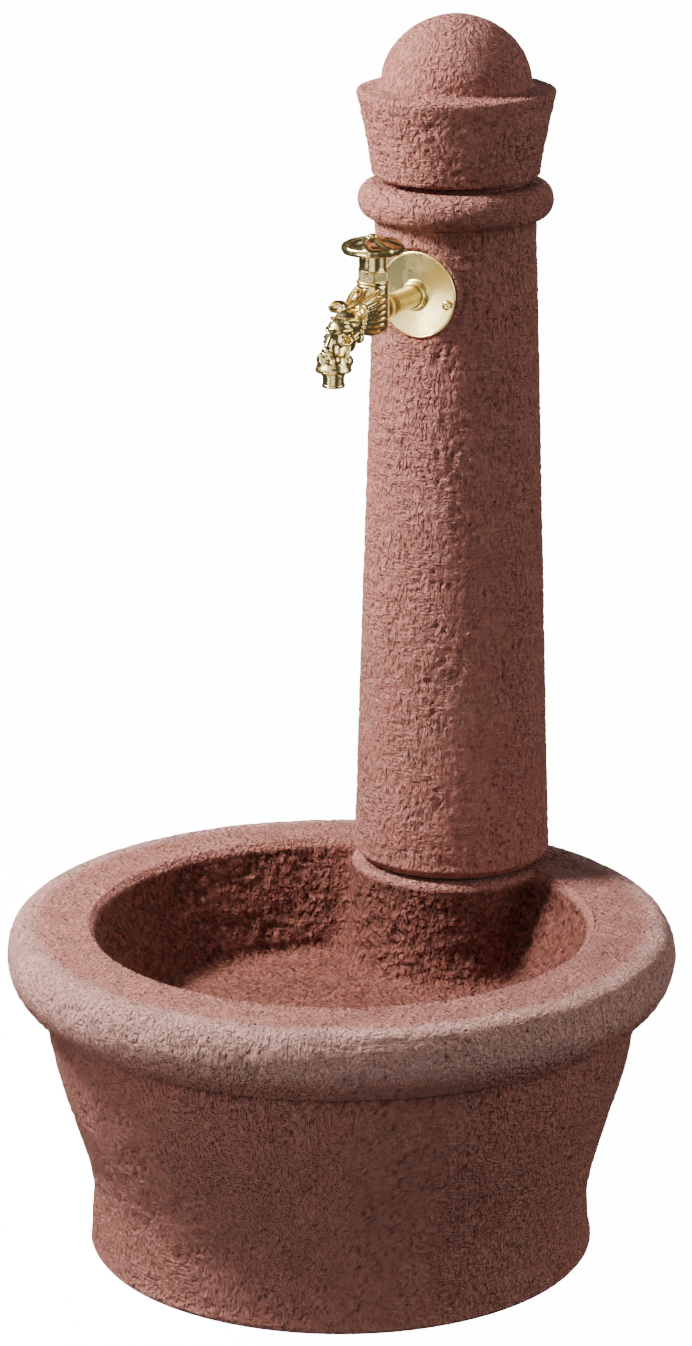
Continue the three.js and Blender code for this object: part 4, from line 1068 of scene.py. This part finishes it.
@dataclass
class Rosette:
    """The round wall plate behind the tap, with two screws. Sizes in millimetres."""

    face: float = 139.9
    radius: float = 39.5
    hub: float = 12.8
    bore: float = 11.0
    circle: float = 32.5
    tilt: float = math.radians(11.5)

    def _plate(self) -> Mesh:
        """The dished plate with a rolled edge and a hub."""
        outline = Outline([(self.bore, 0.0)], step=0.9)
        outline.to((self.bore, -9.4), step=3.0)
        outline.bend((10.3, -9.6), (10.5, -10.2)).bend((10.9, -10.6), (11.3, -10.6))
        outline.bend((self.hub + 0.3, -10.6), (self.hub, -7.6))
        outline.to((self.hub, -5.4)).bend((self.hub, -3.5), (self.hub + 3.0, -3.4))
        outline.to((self.radius - 2.2, -2.1)).bend((self.radius - 1.5, -2.0), (self.radius - 1.3, -2.5))
        outline.bend((self.radius, -2.4), (self.radius, -1.0))
        outline.to((self.radius, 0.0), (self.bore, 0.0), step=6.0)
        return Workshop.turned(outline, 120, (0.0, self.face, TAP_HEIGHT), lying=True)

    def _place(self, side: int) -> Place:
        """Where a screw sits on the column's boss."""
        away = side * self.circle
        return (away * math.cos(self.tilt), self.face, TAP_HEIGHT - away * math.sin(self.tilt))

    def _screw(self, side: int) -> Mesh:
        """A slotted round-headed screw."""
        x, _, z = self._place(side)
        outline = Outline([(0.0, -6.1)], step=0.5)
        outline.bend((2.6, -6.1), (4.0, -5.0)).to((4.2, -4.4), (4.2, -3.9), (1.6, -3.9))
        outline.to((1.6, 18.0), (0.0, 21.0), step=4.0)
        head = Workshop.turned(outline, 40, self._place(side), lying=True)
        slot = Workshop.block((-6.0, self.face - 7.5, -0.55), (6.0, self.face - 5.0, 0.55))
        turn = Matrix.Rotation(math.radians(28 * side), 3, "Y")
        bmesh.ops.rotate(slot, verts=slot.verts, matrix=turn)
        bmesh.ops.translate(slot, verts=slot.verts, vec=Vector((x, 0.0, z)) * MM)
        return Workshop.combined(head, [slot])

    def build(self) -> None:
        """Builds the rosette and its screws."""
        holes = []
        for side in (-1, 1):
            outline = Outline([(0, -9.0)], step=40.0).to((1.9, -9.0), (1.9, 4.0), (0, 4.0))
            holes.append(Workshop.turned(outline, 24, self._place(side), lying=True))
        plate = Workshop.combined(self._plate(), holes)
        Workshop.piece("rosette_plate", plate, SATIN_BRASS, "rosette")
        for side, name in ((-1, "left"), (1, "right")):
            node = f"rosette_screw_{name}"
            Workshop.piece(f"{node}_slotted", self._screw(side), BRASS, node)


# ---- Tap ----


@dataclass
class Tap:
    """The cast tap body with an animal's head for a spout. Sizes in millimetres from its axis at pipe height."""

    axis: Place = (0.0, TAP_BACK, TAP_HEIGHT)
    mouth: float = 70.6
    barrel: float = 14.4
    top: float = 26.0
    voxel: float = 0.55
    line: tuple[Point, ...] = (
        (0.0, 8.0), (-9.0, 1.0), (-21.0, -4.0), (-41.0, -7.5), (-57.0, -13.0), (-66.0, -22.0), (-70.5, -32.0),
    )
    mane: tuple[tuple[Place, ...], ...] = (
        ((8.0, -32, 12.5), (11.4, -20, 16.5), (12.6, -8, 21.5)),
        ((10.6, -33, 9.8), (13.0, -20, 12.0), (14.6, -5, 16.5)),
        ((12.0, -34, 6.6), (13.8, -20, 7.6), (15.2, -3, 11.0)),
        ((12.6, -35, 3.4), (14.0, -20, 3.2), (15.4, -2, 5.4)),
        ((12.8, -36, 0.2), (14.0, -21, -1.2), (15.4, -2, -0.2)),
        ((12.8, -37, -3.2), (13.8, -22, -5.8), (15.2, -3, -5.8)),
        ((12.4, -38, -6.8), (13.2, -24, -10.2), (14.0, -5, -11.4)),
        ((11.0, -39, -10.6), (11.6, -26, -14.4), (11.4, -8, -16.6)),
    )

    def _ball(self, bm: Mesh, place: Place, size: Place | float, turn: Place = (0, 0, 0)) -> None:
        """Adds an ellipsoid.

        Args:
            bm: the mesh it goes into.
            place: its middle.
            size: its half sizes, or its radius.
            turn: its turns about X, Y and Z in degrees.
        """
        halves = (size, size, size) if isinstance(size, (int, float)) else size
        matrix = Matrix.Translation((Vector(self.axis) + Vector(place)) * MM)
        for name, angle in zip("XYZ", turn):
            matrix = matrix @ Matrix.Rotation(math.radians(angle), 4, name)
        matrix = matrix @ Matrix.Diagonal((*(half * MM for half in halves), 1.0))
        bmesh.ops.create_icosphere(bm, subdivisions=4 if max(halves) > 5 else 3, radius=1.0, matrix=matrix)

    def _cord(self, bm: Mesh, places: Sequence[Place], sizes: Sequence[float]) -> None:
        """Adds a smooth strand as a row of balls.

        Args:
            bm: the mesh it goes into.
            places: points that it passes.
            sizes: its radius at each.
        """
        points = [Vector(place) for place in places]
        ends = [points[0] * 2 - points[1], *points, points[-1] * 2 - points[-2]]
        strand = bmesh.new()
        for i in range(len(points) - 1):
            a, b, c, d = ends[i : i + 4]
            count = max(2, math.ceil((c - b).length / (0.4 * min(sizes[i], sizes[i + 1]))))
            for k in range(count + (i == len(points) - 2)):
                t = k / count
                spot = 0.5 * (
                    2 * b + (c - a) * t + (2 * a - 5 * b + 4 * c - d) * t**2 + (3 * b - a - 3 * c + d) * t**3
                )
                size = sizes[i] + (sizes[i + 1] - sizes[i]) * t
                matrix = Matrix.Translation((Vector(self.axis) + spot) * MM)
                bmesh.ops.create_icosphere(strand, subdivisions=2, radius=size * MM, matrix=matrix)
        Workshop.pour(strand, bm)

    def _masses(self) -> Mesh:
        """The barrel, the inlet, the neck and the head's main forms."""
        barrel = Outline([(0.0, -21.0)], step=1.2)
        barrel.bend((self.barrel, -21.0), (self.barrel, -8.0)).to((self.barrel, self.top - 2.6))
        barrel.bend((self.barrel, self.top - 1.6), (self.barrel - 0.9, self.top - 0.4))
        barrel.to((self.barrel - 1.4, self.top), (0.0, self.top))
        inlet = Outline([(0.0, 0.0)], step=1.2)
        inlet.to((12.2, 0.0), (12.2, 12.0)).bend((12.0, 18.0), (11.4, 21.0))
        inlet.to((11.4, 32.0)).bend((11.4, 33.4), (10.9, 34.5)).to((0.0, 34.5))
        lips = Outline([(0.0, -41.0)], step=0.8).to((13.2, -41.0)).bend((16.2, -41.0), (16.3, -38.6))
        lips.bend((16.0, -36.6), (14.0, -33.0)).bend((12.8, -30.0), (11.5, -26.0)).to((0.0, -26.0))
        x, y, z = self.axis
        bm = Workshop.gather([
            Workshop.turned(barrel, 64, (x, y, z)),
            Workshop.turned(inlet, 64, (x, y, z), lying=True),
            Workshop.turned(lips, 64, (x, y - self.mouth, z)),
        ])
        self._cord(bm, [(0.0, *place) for place in self.line], [13.0, 12.4, 11.8, 11.6, 11.4, 10.8, 10.4])
        self._ball(bm, (0, -44, -2), (13.2, 14.5, 12.6))
        self._ball(bm, (0, -58, -5), (11.6, 12.5, 10.6))
        self._ball(bm, (0, -68.5, -14), (9.2, 9.5, 11.5), (-24, 0, 0))
        self._ball(bm, (0, -74.5, -24), (8.4, 8.0, 11.5))
        for side in (-1, 1):
            self._ball(bm, (side * 8.2, -57, -17), (5.6, 9.5, 8.0), (-38, 0, side * 8))
            self._ball(bm, (side * 5.2, -79.5, -28.5), (6.4, 6.0, 6.6))
            self._ball(bm, (side * 10.2, -43.5, -14.5), 5.2)
            self._ball(bm, (side * 9.6, -62.5, -32.0), (4.8, 7.0, 6.0))
        return bm

    def _scoops(self, *balls: tuple[Place, Place, Place]) -> Mesh:
        """Ellipsoids on both sides, each given for the right by its middle, half sizes and turns."""
        bm = bmesh.new()
        for side in (-1, 1):
            for (x, y, z), size, (tilt, roll, yaw) in balls:
                self._ball(bm, (side * x, y, z), size, (tilt, side * roll, side * yaw))
        return bm

    def _features(self) -> Mesh:
        """Ears, brows, eyes, nose, whisker pads and the mane's locks."""
        bm = bmesh.new()
        self._cord(bm, [(0, -45, 8.5), (0, -34, 9.5), (0, -22, 13), (0, -12, 19)], [3.4, 4.2, 4.6, 4.0])
        self._ball(bm, (0, -83.0, -19.0), (4.6, 3.4, 3.2))
        self._cord(bm, [(0, -82, -18), (0, -74, -9), (0, -65, -1.5)], [3.2, 3.0, 2.4])
        for s in (-1, 1):
            self._cord(bm, [(s * 3, -72, -7), (s * 7.5, -67.5, -4.5), (s * 12, -60, -4.5)], [2.0, 2.5, 1.6])
            self._cord(bm, [(s * 5, -63, 2.5), (s * 9.5, -56, 3.4), (s * 12.6, -49, 1.6)], [1.8, 2.0, 1.5])
            self._ball(bm, (s * 8.6, -67.6, -11.0), 2.9)
            self._cord(bm, [(s * 9, -72, -14.5), (s * 12, -65, -16.2), (s * 13, -59, -13.5)], [1.1, 1.4, 1.1])
            self._cord(bm, [(s * 11.5, -62, -16), (s * 12.5, -67, -25), (s * 11.5, -70, -33)], [1.7, 2.0, 1.8])
            self._cord(bm, [(s * 4, -85.2, -24), (s * 8, -83, -30), (s * 12.2, -76, -34)], [1.0, 1.5, 1.2])
            self._ball(bm, (s * 13.0, -40.2, 10.2), (8.8, 3.2, 5.9), (0, s * 10, -s * 35))
            self._ball(bm, (s * 7.5, -37.0, 9.0), (4.2, 4.0, 5.0))
            for lock in self.mane:
                self._cord(bm, [(s * a, b, c) for a, b, c in lock], [1.9, 2.1, 1.3])
        return bm

    def _waterways(self) -> list[Mesh]:
        """The valve chamber, the shank's thread and the mouth's socket."""
        x, y, z = self.axis
        shank = Outline([(0, 24.2)], step=90.0).to((10.3, 24.2), (10.3, 43.0), (0, 43.0))
        return [
            Workshop.rod(9.5, z + 5.0, z + self.top + 8.0, (x, y)),
            Workshop.turned(shank, 48, (x, y, z), lying=True),
            Workshop.rod(8.6, z - 50.0, z - 34.7, (x, y - self.mouth)),
        ]

    def _body(self) -> None:
        """The cast body."""
        hollows = self._scoops(
            ((10.8, -66.0, -11.5), (4.2, 5.4, 3.8), (-30, 0, 30)),
            ((14.8, -50.0, -15.5), (3.2, 4.0, 9.0), (30, 0, 0)),
            ((2.7, -84.8, -21.5), (1.5, 1.8, 1.2), (0, 0, 0)),
        )
        ear_cups = self._scoops(((14.2, -43.6, 10.4), (6.4, 2.2, 3.9), (0, 10, -35)))
        bm = Workshop.combined(Workshop.melted(self._masses(), 0.8), [hollows])
        bm = Workshop.melted(Workshop.gather([bm, self._features()]), self.voxel)
        bm = Workshop.combined(bm, [ear_cups, *self._waterways()])
        Workshop.piece("tap_body_cast", bm, BRASS, "tap_body", sharp=50.0)

    def _nozzle(self) -> None:
        """The turned outlet with its beads."""
        x, y, z = self.axis
        top = -42.3
        outline = Outline([(6.7, top - 12.0)], step=0.7).to((9.3, top - 12.0))
        outline.bend((10.3, top - 12.0), (10.3, top - 11.0))
        outline.to((10.3, top - 9.6)).bend((10.3, top - 9.0), (9.5, top - 8.7)).to((9.5, top - 2.6))
        outline.bend((9.5, top - 2.2), (10.3, top - 2.0))
        outline.to((10.3, top), (8.3, top), (8.3, top + 7.0), (6.7, top + 7.0))
        outline.to((6.7, top - 12.0), step=4.0)
        bm = Workshop.turned(outline, 72, (x, y - self.mouth, z))
        Workshop.piece("nozzle_turned", bm, BRASS, "nozzle")

    def _shank(self) -> None:
        """The smooth shank between the tap and the wall plate."""
        near, far, radius, bore = 81.98, 199.0, 10.0, 6.0
        outline = Outline([(bore, near)], step=20.0).to((radius - 0.6, near), (radius, near + 0.6))
        outline.to((radius, far - 0.6), (radius - 0.6, far), (bore, far), (bore, near))
        bm = Workshop.turned(outline, 72, (0.0, 0.0, self.axis[2]), lying=True)
        Workshop.piece("tap_shank_turned", bm, BRASS, "tap_shank")

    def build(self) -> None:
        """Builds the tap's fixed pieces."""
        self._body()
        self._nozzle()
        self._shank()
        dress(RUBBER, "bonnet_gasket", "packing_ring", "valve_washer")
        dress(OLD_BRASS, "gland_nut", "spindle", "valve_jumper")


@dataclass
class Headwork:
    """The bonnet and the petal handle above the tap. Sizes in millimetres."""

    axis: Point = (0.0, TAP_BACK)
    hex_low: float = 884.6
    hex_top: float = 895.0
    bonnet_top: float = 909.0
    hex_radius: float = 15.0
    handle_low: float = 909.6
    handle_radius: float = 28.5
    handle_height: float = 14.5
    petals: int = 8

    def _bonnet(self) -> Mesh:
        """The hexagon with bevelled corners, its spigot and its stepped neck."""
        x, y = self.axis
        nut = bmesh.new()
        middle = Matrix.Translation(Vector((x, y, (self.hex_low + self.hex_top) / 2)) * MM)
        bmesh.ops.create_cone(
            nut, cap_ends=True, segments=6, radius1=self.hex_radius * MM, radius2=self.hex_radius * MM,
            depth=(self.hex_top - self.hex_low) * MM, matrix=middle @ Matrix.Rotation(math.radians(30), 4, "Z"),
        )
        crown = Outline([(0, self.hex_low - 1.0)], step=30.0)
        crown.to((13.0, self.hex_low - 1.0), (15.6, self.hex_low + 2.0), (15.6, self.hex_top - 2.9))
        crown.to((12.8, self.hex_top), (12.8, self.hex_top + 1.0), (0, self.hex_top + 1.0))
        sheath = Workshop.turned(crown, 96, (x, y, 0.0))
        bmesh.ops.bevel(
            nut, geom=nut.edges[:], offset=0.45 * MM, segments=2, profile=0.5, affect="EDGES", material=-1
        )
        nut = self._kept(nut, sheath)
        neck = Outline([(0, self.hex_top - 1.0)], step=0.8)
        neck.to((12.7, self.hex_top - 1.0), (12.7, self.hex_top + 0.2))
        neck.bend((12.5, self.hex_top + 0.9), (12.5, self.hex_top + 3.4)).to((12.6, self.bonnet_top - 0.9))
        neck.bend((12.6, self.bonnet_top), (11.8, self.bonnet_top)).to((0, self.bonnet_top))
        skirt = Outline([(14.0, self.hex_low - 1.5)], step=0.6).to((14.6, self.hex_low - 1.5))
        skirt.bend((15.0, self.hex_low - 1.5), (15.0, self.hex_low - 0.7))
        skirt.bend((15.0, self.hex_low), (14.2, self.hex_low + 0.6))
        skirt.to((10.0, self.hex_low + 0.6), (10.0, self.hex_low + 0.1))
        skirt.to((14.0, self.hex_low + 0.1), (14.0, self.hex_low - 1.5))
        spigot = Workshop.rod(9.2, 875.5, self.hex_low + 1.0, self.axis, 48)
        added = [Workshop.turned(neck, 96, (x, y, 0.0)), Workshop.turned(skirt, 96, (x, y, 0.0)), spigot]
        solid = Workshop.combined(nut, added, Joining.ADD)
        ways = [
            Workshop.rod(4.3, TAP_HEIGHT, self.bonnet_top + 8.0, self.axis, 48),
            Workshop.rod(8.0, self.bonnet_top - 11.7, self.bonnet_top + 8.0, self.axis, 48),
        ]
        return Workshop.combined(solid, ways)

    @staticmethod
    def _kept(first: Mesh, second: Mesh) -> Mesh:
        """What two solids share, found by cutting the outside of the second away from the first."""
        low, high = (-40.0, 17.0, 880.0), (40.0, 98.0, 900.0)
        outside = Workshop.combined(Workshop.block(low, high), [second])
        return Workshop.combined(first, [outside])

    def _wheel(self) -> Mesh:
        """The domed handle with hollow petals between raised ribs."""
        low, radius, height = self.handle_low, self.handle_radius, self.handle_height
        outline = Outline([(0.0, low + 8.8)], step=0.55)
        outline.to((4.3, low + 8.8), step=2.0).to((4.3, low), (8.0, low), (8.6, low + 3.4), step=1.4)
        outline.bend((9.0, low + 7.2), (13.0, low + 7.4)).to((radius - 8.0, low + 5.2))
        outline.bend((radius - 4.4, low + 4.4), (radius - 4.0, low + 1.6))
        outline.bend((radius - 3.6, low), (radius - 2.2, low))
        outline.bend((radius, low + 0.4), (radius, low + 4.4))
        outline.bend((radius, low + 7.0), (radius - 2.6, low + 8.8))
        outline.bend((radius - 9.0, low + height - 1.6), (9.0, low + height - 0.9))
        outline.bend((7.6, low + height - 0.8), (7.2, low + height)).to((0.0, low + height))
        bm = Workshop.turned(outline, 200, (*self.axis, 0.0))
        x, y = self.axis
        for vert in bm.verts:
            across, along = vert.co.x / MM - x, vert.co.y / MM - y
            reach, rise = math.hypot(across, along), vert.co.z / MM - low
            if reach < 8.2 or rise < 0.05:
                continue
            angle = math.atan2(along, across) - 0.35 * (reach / radius) ** 2
            rib = abs(math.cos(self.petals * angle / 2)) ** 6
            upper = eased(rise, 4.6, 9.5)
            spread = eased(reach, 8.2, 12.5) * (1.0 - 0.55 * eased(reach, 23.0, 28.5))
            if rise > 5.0 and vert.normal.z > -0.2:
                vert.co.z -= (1.0 - rib) * 2.1 * MM * upper * spread
            edge = eased(reach, 21.0, 28.0)
            pull = 1.0 - (1.0 - rib) * 0.034 * edge
            vert.co.x = (x + across * pull) * MM
            vert.co.y = (y + along * pull) * MM
        return bm

    def _screw(self) -> Mesh:
        """The round-headed screw that holds the handle."""
        seat = self.handle_low + self.handle_height + 0.3
        outline = Outline([(0.0, 909.1)], step=3.0)
        outline.to((2.0, 910.1), (2.0, seat), (4.6, seat), (4.6, seat + 0.7))
        outline.step = 0.4
        outline.bend((4.4, seat + 2.3), (0.0, seat + 2.5))
        head = Workshop.turned(outline, 48, (*self.axis, 0.0))
        x, y = self.axis
        slot = Workshop.block((x - 6.0, y - 0.5, seat + 1.3), (x + 6.0, y + 0.5, seat + 4.0))
        return Workshop.combined(head, [slot])

    def build(self) -> None:
        """Builds the bonnet, the handle and its screw."""
        Workshop.piece("bonnet_turned", self._bonnet(), BRASS, "bonnet")
        Workshop.piece("petal_handle", self._wheel(), BRASS, "handle", Rider.HANDLE, 55.0)
        Workshop.piece("handle_screw_slotted", self._screw(), BRASS, "handle_screw", Rider.HANDLE)


# ---- Drain and plumbing ----


@dataclass
class Drain:
    """The strainer in the bowl's floor, with its flange, screw and nut. Sizes in millimetres."""

    place: Point = (0.0, -75.0)
    strainer_low: float = 202.3
    strainer_radius: float = 34.0
    holes: int = 8

    def _strainer(self) -> Mesh:
        """The dished strainer with two rings of holes."""
        low, radius = self.strainer_low, self.strainer_radius
        outline = Outline([(0.0, low)], step=1.5)
        outline.to((radius - 0.6, low)).bend((radius, low), (radius, low + 0.7))
        outline.bend((radius, low + 1.6), (radius - 2.4, low + 2.0))
        outline.to((radius - 4.5, low + 1.7), (0.0, low + 1.7))
        plate = Workshop.turned(outline, 96, (*self.place, 0.0))
        ways = [Workshop.rod(2.3, low - 4.0, low + 4.0, self.place, 24)]
        for count, reach, size in ((self.holes, 14.5, 3.2), (self.holes // 2, 7.6, 1.7)):
            for i in range(count):
                angle = 2 * math.pi * (i + 0.5) / count
                spot = (self.place[0] + reach * math.cos(angle), self.place[1] + reach * math.sin(angle))
                ways.append(Workshop.rod(size, low - 4.0, low + 4.0, spot, 24))
        return Workshop.combined(plate, ways)

    def _screw(self) -> Mesh:
        """The strainer's slotted screw."""
        seat = self.strainer_low + 2.3
        outline = Outline([(0.0, 181.7)], step=4.0)
        outline.to((2.0, 182.7), (2.0, seat), (4.0, seat), (4.0, seat + 0.4))
        outline.step = 0.4
        outline.bend((3.8, seat + 1.7), (0.0, seat + 1.8))
        head = Workshop.turned(outline, 40, (*self.place, 0.0))
        x, y = self.place
        slot = Workshop.block((x - 5.0, y - 0.45, seat + 0.9), (x + 5.0, y + 0.45, seat + 3.0))
        return Workshop.combined(head, [slot])

    def build(self) -> None:
        """Builds the strainer and its screw, and dresses the drain below."""
        Workshop.piece("drain_strainer_pierced", self._strainer(), STEEL, "drain_strainer")
        Workshop.piece("drain_screw_slotted", self._screw(), STEEL, "drain_screw")
        dress(OLD_BRASS, "drain_body", "drain_nut")
        dress(RUBBER, "drain_seal", "drain_washer")


@dataclass
class Plumbing:
    """The pipework inside the stone, which keeps its CAD shapes."""

    brass: tuple[str, ...] = ("shank_backnut", "tap_elbow", "inlet_elbow", "inlet_union")

    def build(self) -> None:
        """Dresses the hidden parts."""
        dress(OLD_BRASS, *self.brass)
        dress(COPPER, "riser_pipe")
        dress(STEEL, "column_dowel_left", "column_dowel_right")
        dress(RUBBER, "column_bed_seal", "cap_bed_seal")
        dress(PLASTIC, "saddle_washer", "rosette_plug_left", "rosette_plug_right")


# ---- Studio ----


@dataclass
class Studio:
    """A pale floor, soft light from the upper left and the camera. Sizes in metres."""

    camera_place: Place = (1.9877, -3.5235, 1.7406)
    camera_tilt: float = 0.28883
    camera_turn: float = 0.51251
    lens: float = 126.51
    stage_radius: float = 40.0
    stage_height: float = 30.0
    key: float = 108.0
    low: float = 8.0
    front_fill: float = 0.36
    side_fill: float = 1.5
    fill: float = 0.05

    def _floor(self) -> None:
        """A large plain floor just under the foot, turned up into a far round wall."""
        bm = bmesh.new()
        disc = bmesh.ops.create_circle(bm, cap_ends=True, segments=96, radius=self.stage_radius)
        rim = list({edge for vert in disc["verts"] for edge in vert.link_edges})
        wall = bmesh.ops.extrude_edge_only(bm, edges=rim)["geom"]
        raised = [part for part in wall if isinstance(part, bmesh.types.BMVert)]
        bmesh.ops.translate(bm, verts=raised, vec=(0.0, 0.0, self.stage_height))
        bmesh.ops.translate(bm, verts=bm.verts, vec=(0.0, 0.0, -0.0005))
        floor = Workshop.placed(bm, "studio_floor")
        floor.data.materials.append(material_of(GROUND))
        floor.visible_diffuse = floor.visible_glossy = floor.visible_shadow = False

    @staticmethod
    def _stand(name: str, data: bpy.types.ID, place: Place, turn: Sequence[float]) -> bpy.types.Object:
        """Puts a lamp or a camera in its place."""
        thing = bpy.data.objects.new(name, data)
        thing.location, thing.rotation_euler = place, turn
        bpy.context.scene.collection.objects.link(thing)
        return thing

    def _light(
        self, name: str, kind: str, energy: float, place: Place, aim: Place, **sizes: float | str
    ) -> bpy.types.Object:
        """Adds a lamp.

        Args:
            name: its name.
            kind: Blender's name for its type.
            energy: its strength.
            place: where it stands.
            aim: what it points at.
            sizes: its size settings.

        Returns:
            The lamp.
        """
        lamp = bpy.data.lights.new(name, kind)
        lamp.energy = energy
        for key, value in sizes.items():
            setattr(lamp, key, value)
        return self._stand(name, lamp, place, (Vector(aim) - Vector(place)).to_track_quat("-Z", "Y").to_euler())

    def _around(self, angle: float, rise: float, away: float = 5.0, height: float = 0.65) -> Place:
        """A place for a lamp.

        Args:
            angle: degrees from the camera's side, to its right.
            rise: degrees above the fountain's middle.
            away: its distance from there.
            height: how high that middle is.

        Returns:
            The place.
        """
        turn, lift = self.camera_turn + math.radians(angle), math.radians(rise)
        flat = away * math.cos(lift)
        return (flat * math.sin(turn), 0.1 - flat * math.cos(turn), height + away * math.sin(lift))

    def _sky(self) -> None:
        """An even pale surround."""
        world = bpy.data.worlds.new("surround")
        world.use_nodes = True
        shade = world.node_tree.nodes["Background"]
        shade.inputs["Color"].default_value = (1.0, 0.99, 0.98, 1.0)
        shade.inputs["Strength"].default_value = self.fill
        bpy.context.scene.world = world

    def _camera(self) -> None:
        """The camera, looking slightly down from the front right."""
        data = bpy.data.cameras.new("camera")
        data.sensor_fit = "VERTICAL"
        data.sensor_height = 36.0
        data.lens = self.lens
        turn = (math.pi / 2 - self.camera_tilt, 0.0, self.camera_turn)
        bpy.context.scene.camera = self._stand("camera", data, self.camera_place, turn)

    def build(self) -> None:
        """Builds the studio."""
        self._floor()
        self._sky()
        aim = (0.0, 0.1, 0.65)
        self._light("key_box", "AREA", self.key, self._around(-87.5, 42.0, 1.7), aim, shape="SQUARE", size=0.4)
        low = self._around(-52.0, 0.0, 1.6, 0.2)
        self._light("low_box", "AREA", self.low, low, (0.0, 0.0, 0.15), shape="SQUARE", size=0.4)
        self._light("front_fill", "SUN", self.front_fill, self._around(-35.0, 32.0), aim, angle=0.6)
        self._light("side_fill", "SUN", self.side_fill, self._around(75.0, 14.0), aim, angle=0.9)
        for name, angle, rise, glow, wide in (
            ("left_sheet", -70.0, 38.0, 5.0, 3.2),
            ("right_sheet", 70.0, 12.0, 2.2, 2.4),
            ("front_sheet", -8.0, 4.0, 1.6, 3.6),
            ("low_sheet", -20.0, -42.0, 1.3, 4.0),
            ("back_sheet", 165.0, 20.0, 2.6, 3.4),
        ):
            power = glow * math.pi * wide * wide
            sheet = self._light(name, "AREA", power, self._around(angle, rise), aim, shape="SQUARE", size=wide)
            sheet.visible_diffuse = False
        self._camera()


def main() -> None:
    """Builds the fountain and its studio in order."""
    logging.basicConfig(level=logging.INFO, format="%(relativeCreated)6.0f ms %(name)s: %(message)s")
    for part in (Studio(), Basin(), Column(), Cap(), Rosette(), Tap(), Headwork(), Drain(), Plumbing()):
        log.info("building %s", type(part).__name__)
        part.build()
    bpy.context.view_layer.update()


if __name__ == "__main__":
    main()
